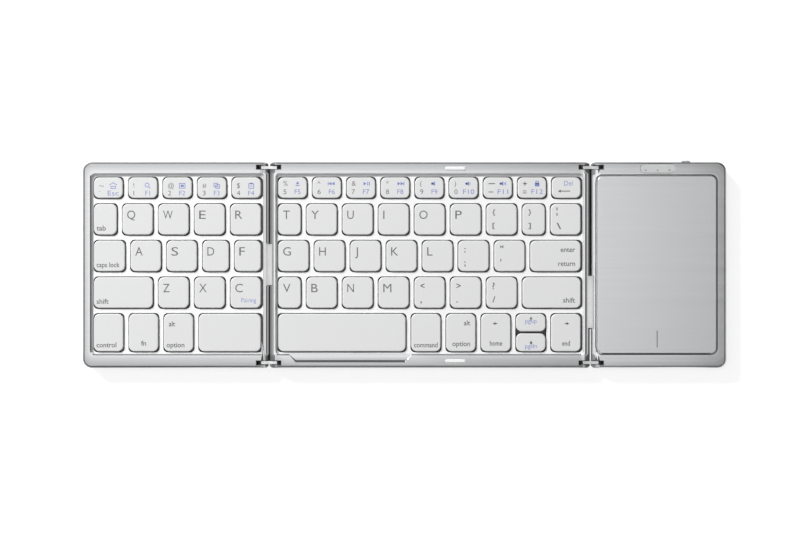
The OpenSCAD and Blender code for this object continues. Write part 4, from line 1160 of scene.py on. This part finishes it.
# Widths of the painted shade lines around the touchpad's well, at the key wells' sides away from the light and around
# the hinge pockets
PAD_LINE = 0.45 * MM
WELL_LINE = 0.52 * MM
POCKET_LINE = 0.25 * MM
# Where the hinge pockets lie: from and to on Y, and their reach from the fold and from the top
POCKET_Y = (44.4 * MM, 47.9 * MM)
POCKET_REACH = 6.2 * MM
POCKET_DEPTH = 2.5 * MM


def notch_ends():
    """Left, right, front and back of the thumb notch along the front of the middle well."""
    frame_box, web_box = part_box("middle_top_frame"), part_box("middle_key_web")
    level = frame_box[1].z - NOTCH_FLOOR
    floor = [v.co for v in frame["nodes"]["middle_top_frame"].data.vertices
             if abs(v.co.z - level) < NEAR and frame_box[0].y + 1 * MM < v.co.y < web_box[0].y + 1 * MM]
    return (min(p.x for p in floor), max(p.x for p in floor), min(p.y for p in floor), max(p.y for p in floor))


class KEYBOARD_OT_frames(bpy.types.Operator):
    """Polishes the edges of the three top frames, draws the dark joint line above their chamfer, darkened as painted
    shade, and paints shade on the back chamfer, the thumb notch's walls, the well sides away from the light, around
    the touchpad's well and around the hinge pockets
    """
    bl_idname = "keyboard.frames"
    bl_label = "Finish the Top Frames"

    def execute(self, context):
        metal = context.scene.keyboard_metal
        left, right, front, back = notch_ends()
        for section in ("left", "middle", "right"):
            node = section + "_top_frame"
            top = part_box(node)[1].z
            piece = open_copy(node, section + "_brushed_frame")

            def all_verts(edge, passes):
                return all(passes(v.co) for v in edge.verts)

            def on_top(edge):
                return all_verts(edge, lambda p: abs(p.z - top) < NEAR)

            def at_notch(edge):
                return section == "middle" and all_verts(
                    edge, lambda p: left - NEAR < p.x < right + NEAR and front - 1 * MM < p.y < back + NEAR)

            def in_notch(face):
                p = face.calc_center_median()
                return (left < p.x < right and front - 1 * MM < p.y < back
                        and top - NOTCH_FLOOR + NEAR < p.z < top - NEAR)

            def along_well(edge):
                return turn_of(edge) > 60 and all_verts(
                    edge, lambda p: p.z > top - 0.9 * MM and abs(well_distance(p, well)) < 0.6)

            def at_pocket(edge):
                return turn_of(edge) > 35 and all_verts(
                    edge, lambda p: POCKET_Y[0] < abs(p.y) < POCKET_Y[1] and p.z > top - POCKET_DEPTH
                    and min(abs(p.x - fold) for fold in FOLDS) < POCKET_REACH)

            def shaded_side(edge):
                return all_verts(edge, lambda p: p.y < well_front + 0.3 * MM) or (
                    section == "left" and all_verts(edge, lambda p: p.x < well_left + 0.3 * MM))

            def polished(edge):
                return (turn_of(edge) > 60 and min(v.co.z for v in edge.verts) > top - 1.3 * MM
                        and not at_notch(edge) and not at_pocket(edge)
                        and not (section == "right" and along_well(edge)))

            well = well_of(section)
            well_left, _, well_front, _ = well_block(section)
            back_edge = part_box(node)[1].y
            if section == "middle":
                with editing(piece):
                    for level, lean in zip((top, top - NOTCH_FLOOR), NOTCH_LEAN):
                        choose(piece, "VERT", lambda v: abs(v.co.z - level) < NEAR and abs(v.co.y - front) < NEAR
                               and left - NEAR < v.co.x < right + NEAR)
                        move(y=lean)
                # Painted shade on the thumb notch's left end and front wall, and a painted highlight in the polished
                # finish on its right end, which faces the light
                assign(piece, 2, in_notch)
                assign(piece, 1, lambda f: in_notch(f) and f.normal.x < -0.3)
            # Painted shade: the back chamfer takes the dark chamfer metal
            assign(piece, 3, lambda f: f.normal.y > 0.3 and 0.5 < f.normal.z < 0.9
                   and f.calc_center_median().y > back_edge - 5 * MM)
            # The dark joint line above the outer chamfer, darkened as painted shade; it is left off at the back, which
            # faces the light
            soften(piece, metal.seam_width, lambda e: on_top(e) and 40 < turn_of(e) < 50
                   and not all_verts(e, lambda p: p.y > back_edge - 1 * MM), 2, 1)
            if section == "right":
                # Painted shade line around the touchpad's well
                soften(piece, PAD_LINE, along_well, 2, 1)
            else:
                # Painted shade line along the key wells' sides away from the light
                soften(piece, WELL_LINE, lambda e: along_well(e) and shaded_side(e) and not at_notch(e), 4, 1)
            # Painted shade line around the hinge pockets
            soften(piece, POCKET_LINE, at_pocket, 2, 1)
            soften(piece, metal.edge_width, polished, 1)
            smooth(piece, 30)
            dress(piece, body_of(node),
                  [materials[section + "_frame"], materials["frame_edge"], materials["seam"],
                   materials["chamfer"], materials["front_line"]], [node])
        return {"FINISHED"}


class KEYBOARD_OT_slopes(bpy.types.Operator):
    """Models the slopes that lead from the frames down to the key webs, widened on the left and at the back to stand
    in for the rim's shadow, and grey with painted shade
    """
    bl_idname = "keyboard.slopes"
    bl_label = "Model the Well Slopes"

    def execute(self, context):
        metal = context.scene.keyboard_metal
        width = metal.slope_width
        start, end, _, edge = notch_ends()
        for section in ("left", "middle"):
            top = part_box(section + "_top_frame")[1].z - SLOPE_DROP
            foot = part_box(section + "_key_web")[1].z + 0.01 * MM
            well = well_of(section)
            left, right, front, back = well_block(section)
            slope = add_block(section + "_well_slope", (left, front, foot), (right, back, top))
            round_corners(slope, WELL_CORNER, 10)
            with editing(slope):
                choose(slope, "FACE", faces_up)
                bpy.ops.mesh.inset(thickness=width)
                move(z=foot + SLOPE_FOOT - top)
                choose(slope, "FACE", faces_down)
                bpy.ops.mesh.inset(thickness=width)
                choose(slope, "FACE", lambda f: abs(f.normal.z) > 0.99 and f.calc_area() > 0.003)
                bpy.ops.mesh.bridge_edge_loops()
                # The slope is widened on the left and at the back, where it stands in for the rim's shadow as painted
                # shade
                for side, shift in ((lambda v: v.co.x < well[0] * MM, {"x": metal.left_slope_width - width}),
                                    (lambda v: v.co.y > well[1] * MM, {"y": width - metal.back_slope_width})):
                    choose(slope, "VERT", lambda v: side(v) and well_distance(v.co, well) < -0.8 * width / MM)
                    move(**shift)
                if section == "middle":
                    cut_across(start - 0.8 * MM, start, end, end + 0.8 * MM)
                    choose(slope, "VERT", lambda v: start - NEAR < v.co.x < end + NEAR
                           and v.co.y < edge + 0.1 * MM and v.co.z > top - NEAR)
                    move(z=SLOPE_DROP - NOTCH_FLOOR)
            for _ in range(2):
                slope.data.materials.append(None)
            tidy_mesh(slope)
            # The front and back faces take the lighter of two painted shade greys, the sides the darker
            assign(slope, 1, lambda f: abs(f.normal.y) > 0.3 and f.normal.z > 0.2)
            smooth(slope, 30)
            dress(slope, body_of(section + "_top_frame"), [materials["slope"], materials["back_slope"]])
        return {"FINISHED"}


class KEYBOARD_OT_covers(bpy.types.Operator):
    """Softens the outer edges of the three bottom covers"""
    bl_idname = "keyboard.covers"
    bl_label = "Finish the Bottom Covers"

    def execute(self, context):
        for section in ("left", "middle", "right"):
            node = section + "_bottom_cover"
            piece = open_copy(node, section + "_cover")
            soften(piece, 0.12 * MM, lambda e: turn_of(e) > 40 and max(v.co.z for v in e.verts) < 2.2 * MM)
            smooth(piece, 30)
            dress(piece, body_of(node),
                  [materials["cover_metal"], materials["cover_edge"]], [node])
        return {"FINISHED"}


class KEYBOARD_OT_webs(bpy.types.Operator):
    """Fits the openings of the white webs to the keycaps and softens them"""
    bl_idname = "keyboard.webs"
    bl_label = "Finish the Key Webs"

    def execute(self, context):
        keys = context.scene.keyboard_keys
        for section in ("left", "middle"):
            node = section + "_key_web"
            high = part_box(node)[1]
            piece = open_copy(node, section + "_web")
            holes = [(box, kind.endswith("number_keys")) for kind in KEY_NODES for box in boxes_in(kind)]
            left, right, _, _ = well_block(section)
            first = [box for box, _ in holes if left < box[0].x < left + 1.5 * MM]
            last = [box for box, _ in holes if right - 1.5 * MM < box[1].x < right]

            def around(vert, low, high):
                return (low.x - 0.5 * MM < vert.co.x < high.x + 0.5 * MM
                        and low.y - 0.5 * MM < vert.co.y < high.y + 0.5 * MM)

            def beside(vert, number_row, toward):
                return any(row == number_row and around(vert, a, b) and (vert.co - (a + b) / 2).dot(toward) > 0
                           for (a, b), row in holes)

            with editing(piece):
                for number_row, back in ((False, keys.back_trim), (True, keys.number_trim)):
                    for toward, distance in (((0, 1, 0), back), ((1, 0, 0), keys.side_trim),
                                             ((-1, 0, 0), keys.side_trim)):
                        toward = Vector(toward)
                        choose(piece, "VERT", lambda v: beside(v, number_row, toward))
                        move(*(-toward * distance))
                choose(piece, "VERT", lambda v: any(
                    around(v, a, b) and v.co.x > (a.x + b.x) / 2 for a, b in last))
                move(x=keys.end_gap)
                if section == "middle":
                    choose(piece, "VERT", lambda v: any(
                        around(v, a, b) and v.co.x < (a.x + b.x) / 2 for a, b in first))
                    move(x=-keys.first_gap)
            soften(piece, 0.07 * MM, lambda e: turn_of(e) > 60 and min(v.co.z for v in e.verts) > high.z - NEAR)
            smooth(piece, 30)
            dress(piece, body_of(node), [materials["web_plastic"]] * 2, [node])
        return {"FINISHED"}


# How much the touchpad's plate is trimmed on the left and at the front
PAD_TRIM = (0.3 * MM, 0.1 * MM)
PAD_CORNER = 2.7 * MM
# The short line printed on the touchpad: front and back on Y, half its width, and its step from the middle on X
MARK_Y = (-39.3 * MM, -31.1 * MM)
MARK_HALF = 0.2 * MM
MARK_STEP = 0.3 * MM
# The hinge links' ends, painted near black as the shade where they curve down into their pockets, begin this far from
# the fold
COLLAR_START = 3.7 * MM
RIB_PITCH = 0.5 * MM
RIB_HEIGHT = 0.05 * MM


class KEYBOARD_OT_touchpad(bpy.types.Operator):
    """Models the touchpad's plate and the line printed on it"""
    bl_idname = "keyboard.touchpad"
    bl_label = "Model the Touchpad"

    def execute(self, context):
        low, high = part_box("touchpad")
        plate = add_block("touchpad_plate", (low.x + PAD_TRIM[0], low.y + PAD_TRIM[1], low.z), high)
        round_corners(plate, PAD_CORNER)
        for _ in range(2):
            plate.data.materials.append(None)
        round_rim(plate, 0.22 * MM, 3, material=1)
        smooth(plate)
        dress(plate, body_of("touchpad"),
              [materials["touchpad_film"], materials["frame_edge"]], ["touchpad"])
        x = (low.x + high.x) / 2 + MARK_STEP
        line = add_block("touchpad_mark", (x - MARK_HALF, MARK_Y[0], high.z - 0.03 * MM),
                         (x + MARK_HALF, MARK_Y[1], high.z + 0.02 * MM))
        round_corners(line, 0.19 * MM, 5)
        round_rim(line, 0.015 * MM, 1)
        dress(smooth(line), body_of("touchpad"), [materials["ink"]])
        return {"FINISHED"}


class KEYBOARD_OT_hinges(bpy.types.Operator):
    """Paints shade on the hinge links' ends and models the ribbed cables in the folds, which take a painted glow"""
    bl_idname = "keyboard.hinges"
    bl_label = "Finish the Hinges and Ribbons"

    def execute(self, context):
        for side in ("left", "right"):
            node = side + "_hinge_links"
            low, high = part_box(node)
            middle = (low.x + high.x) / 2
            piece = open_copy(node, side + "_links")
            soften(piece, 0.15 * MM, lambda e: turn_of(e) > 40)
            with editing(piece):
                cut_across(middle - COLLAR_START, middle + COLLAR_START)
            # Painted shade on the links' ends
            assign(piece, 2, lambda f: abs(f.calc_center_median().x - middle) > COLLAR_START)
            smooth(piece, 30)
            dress(piece, body_of(node),
                  [materials["link_steel"], materials["frame_edge"], materials["link_collar"]], [node])
            node = side + "_ribbon_cable"
            low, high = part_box(node)
            ribbon = add_block(side + "_ribbon", low, (high.x, high.y, high.z - RIB_HEIGHT))
            ribs = int((high.y - low.y) / RIB_PITCH) | 1
            pitch = (high.y - low.y) / ribs
            with editing(ribbon):
                choose(ribbon, "EDGE", lambda e: abs(e.verts[0].co.y - e.verts[1].co.y) > 0.1 * MM)
                bpy.ops.mesh.subdivide(number_cuts=ribs - 1)
                choose(ribbon, "FACE", lambda f: faces_up(f)
                       and int((f.calc_center_median().y - low.y) / pitch) % 2 == 1)
                bpy.ops.mesh.inset(thickness=0.04 * MM, use_individual=True)
                move(z=RIB_HEIGHT)
            smooth(ribbon)
            # The ribbon takes the film with the painted glow
            dress(ribbon, body_of(node), [materials["ribbon_film"]], [node])
        return {"FINISHED"}


DOT_PITCH = 5.66 * MM
DOT_Y = 45.11 * MM
DOT_RADIUS = 0.42 * MM


class KEYBOARD_OT_trim(bpy.types.Operator):
    """Models the bumper pads, indicator window, power button and rubber feet"""
    bl_idname = "keyboard.trim"
    bl_label = "Model the Pads, Window, Button and Feet"

    def execute(self, context):
        pads = []
        for low, high in boxes_in("bumper_pads"):
            pad = add_block("pad", low, high)
            round_corners(pad, 0.6 * MM, 5)
            pads.append(round_rim(pad, 0.28 * MM, 3))
        dress(smooth(merge("bumper_pad_pair", pads)), body_of("bumper_pads"),
              [materials["pad_rubber"]], ["bumper_pads"])

        low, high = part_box("indicator_window")
        window = add_block("indicator_lens", low, high)
        round_corners(window, (high.y - low.y) / 2 - 0.01 * MM, 10)
        round_rim(window, 0.12 * MM, 2)
        dress(smooth(window), body_of("indicator_window"),
              [materials["window_plastic"]], ["indicator_window"])
        dots = [add_disc("dot", (low.x + high.x) / 2 + step * DOT_PITCH, DOT_Y, high.z + INK_LIFT, DOT_RADIUS, 20)
                for step in (-1, 0, 1)]
        dress(merge("indicator_dots", dots), body_of("indicator_window"), [materials["dot_glass"]])

        button = soften(open_copy("power_button", "power_key_cap"), 0.2 * MM, lambda e: turn_of(e) > 40)
        dress(smooth(button), body_of("power_button"),
              [materials["button_metal"], materials["frame_edge"]], ["power_button"])

        for section in ("left", "middle", "right"):
            node = section + "_feet"
            feet = []
            for low, high in boxes_in(node):
                centre = (low + high) / 2
                leave_all()
                bpy.ops.mesh.primitive_cylinder_add(vertices=40, radius=(high.x - low.x) / 2,
                                                    depth=high.z - low.z, location=centre)
                foot = settle(bpy.context.object)
                feet.append(round_rim(foot, 0.2 * MM, 3, side="bottom"))
            dress(smooth(merge(section + "_rubber_feet", feet)), body_of(node),
                  [materials["foot_rubber"]], [node])
        return {"FINISHED"}


# Studio

# Glow that turns the floor white for the camera and in reflections, and leaves the keyboard's shadow
FLOOR_GLOW = 0.6


def add_softbox(name, place, target, width, depth, power):
    leave_all()
    bpy.ops.object.light_add(type="AREA", location=place)
    lamp = bpy.context.object
    lamp.name = name
    lamp.data.shape = "RECTANGLE"
    lamp.data.size, lamp.data.size_y = width, depth
    lamp.data.energy = power
    lamp.rotation_euler = (Vector(target) - Vector(place)).to_track_quat("-Z", "Y").to_euler()
    return lamp


class KEYBOARD_OT_camera(bpy.types.Operator):
    """Hangs the camera straight above the open keyboard"""
    bl_idname = "keyboard.camera"
    bl_label = "Place the Camera"

    def execute(self, context):
        studio = context.scene.keyboard_studio
        top = cad_box[1][2]
        leave_all()
        bpy.ops.object.camera_add(location=(*studio.view_centre, top + studio.camera_height), rotation=(0, 0, 0))
        camera = context.object
        camera.name = "Overhead Camera"
        camera.data.sensor_fit = "HORIZONTAL"
        camera.data.sensor_width = SENSOR_WIDTH
        camera.data.lens = SENSOR_WIDTH * studio.camera_height / studio.view_width
        camera.data.clip_start = 0.01
        camera.data.clip_end = 50
        context.scene.camera = camera
        return {"FINISHED"}


class KEYBOARD_OT_studio(bpy.types.Operator):
    """Lays the pale floor and sets the soft lights"""
    bl_idname = "keyboard.studio"
    bl_label = "Set the Studio"

    def execute(self, context):
        studio = context.scene.keyboard_studio
        leave_all()
        bpy.ops.mesh.primitive_plane_add(size=8, location=(0, 0, 0))
        floor = context.object
        floor.name = "Studio Floor"
        material, shader = blank_material("Floor White", studio.floor_colour, 0, 0.9)
        tree = material.node_tree
        path = node_in(tree, "ShaderNodeLightPath", (-900, 0)).outputs
        seen = math_in(tree, "MAXIMUM", path["Is Camera Ray"], path["Is Glossy Ray"], (-700, 0))
        seen = math_in(tree, "MAXIMUM", seen, path["Is Transmission Ray"], (-500, 0))
        shader.inputs["Emission Color"].default_value = (1, 1, 1, 1)
        tree.links.new(math_in(tree, "MULTIPLY", seen, FLOOR_GLOW, (-300, 0)), shader.inputs["Emission Strength"])
        floor.data.materials.append(material)

        world = bpy.data.worlds.new("Studio Sky")
        context.scene.world = world
        world.use_nodes = True
        sky = world.node_tree.nodes["Background"]
        sky.inputs["Color"].default_value = (1, 1, 1, 1)
        sky.inputs["Strength"].default_value = studio.sky

        add_softbox("Key Softbox", (-1.4, 1.4, 1.15), (0, 0, 0), 0.45, 0.45, 57)
        add_softbox("Overhead Softbox", (-0.36, 0.1, 1.6), (-0.36, 0.1, 0), 1.3, 0.9, 4.4)
        context.scene.view_settings.view_transform = "Standard"
        return {"FINISHED"}


class KEYBOARD_PT_panel(bpy.types.Panel):
    """Lists the steps that dress the keyboard and the sizes and colours that they use"""
    bl_label = "Folding Keyboard"
    bl_idname = "KEYBOARD_PT_panel"
    bl_space_type = "VIEW_3D"
    bl_region_type = "UI"
    bl_category = "Keyboard"

    def draw(self, context):
        for settings in (context.scene.keyboard_keys, context.scene.keyboard_letters,
                         context.scene.keyboard_metal, context.scene.keyboard_studio):
            column = self.layout.column()
            for name in settings.__annotations__:
                column.prop(settings, name)
        for step in STEPS:
            self.layout.operator(step.bl_idname)


SETTINGS = {
    "keyboard_keys": KeyboardKeySettings,
    "keyboard_letters": KeyboardLetterSettings,
    "keyboard_metal": KeyboardMetalSettings,
    "keyboard_studio": KeyboardStudioSettings,
}
STEPS = (KEYBOARD_OT_camera, KEYBOARD_OT_nodes, KEYBOARD_OT_keycaps, KEYBOARD_OT_lettering,
         KEYBOARD_OT_frames, KEYBOARD_OT_slopes, KEYBOARD_OT_covers, KEYBOARD_OT_webs, KEYBOARD_OT_touchpad,
         KEYBOARD_OT_hinges, KEYBOARD_OT_trim, KEYBOARD_OT_studio)


def register():
    for settings in SETTINGS.values():
        bpy.utils.register_class(settings)
    for name, settings in SETTINGS.items():
        setattr(bpy.types.Scene, name, PointerProperty(type=settings))
    for step in STEPS:
        bpy.utils.register_class(step)
    bpy.utils.register_class(KEYBOARD_PT_panel)


def unregister():
    bpy.utils.unregister_class(KEYBOARD_PT_panel)
    for step in reversed(STEPS):
        bpy.utils.unregister_class(step)
    for name, settings in SETTINGS.items():
        delattr(bpy.types.Scene, name)
        bpy.utils.unregister_class(settings)


def main():
    register()
    for step in STEPS:
        group, name = step.bl_idname.split(".")
        result = getattr(getattr(bpy.ops, group), name)()
        if result != {"FINISHED"}:
            raise RuntimeError(step.bl_label + " did not finish")
    leave_all()


if __name__ == "__main__":
    main()
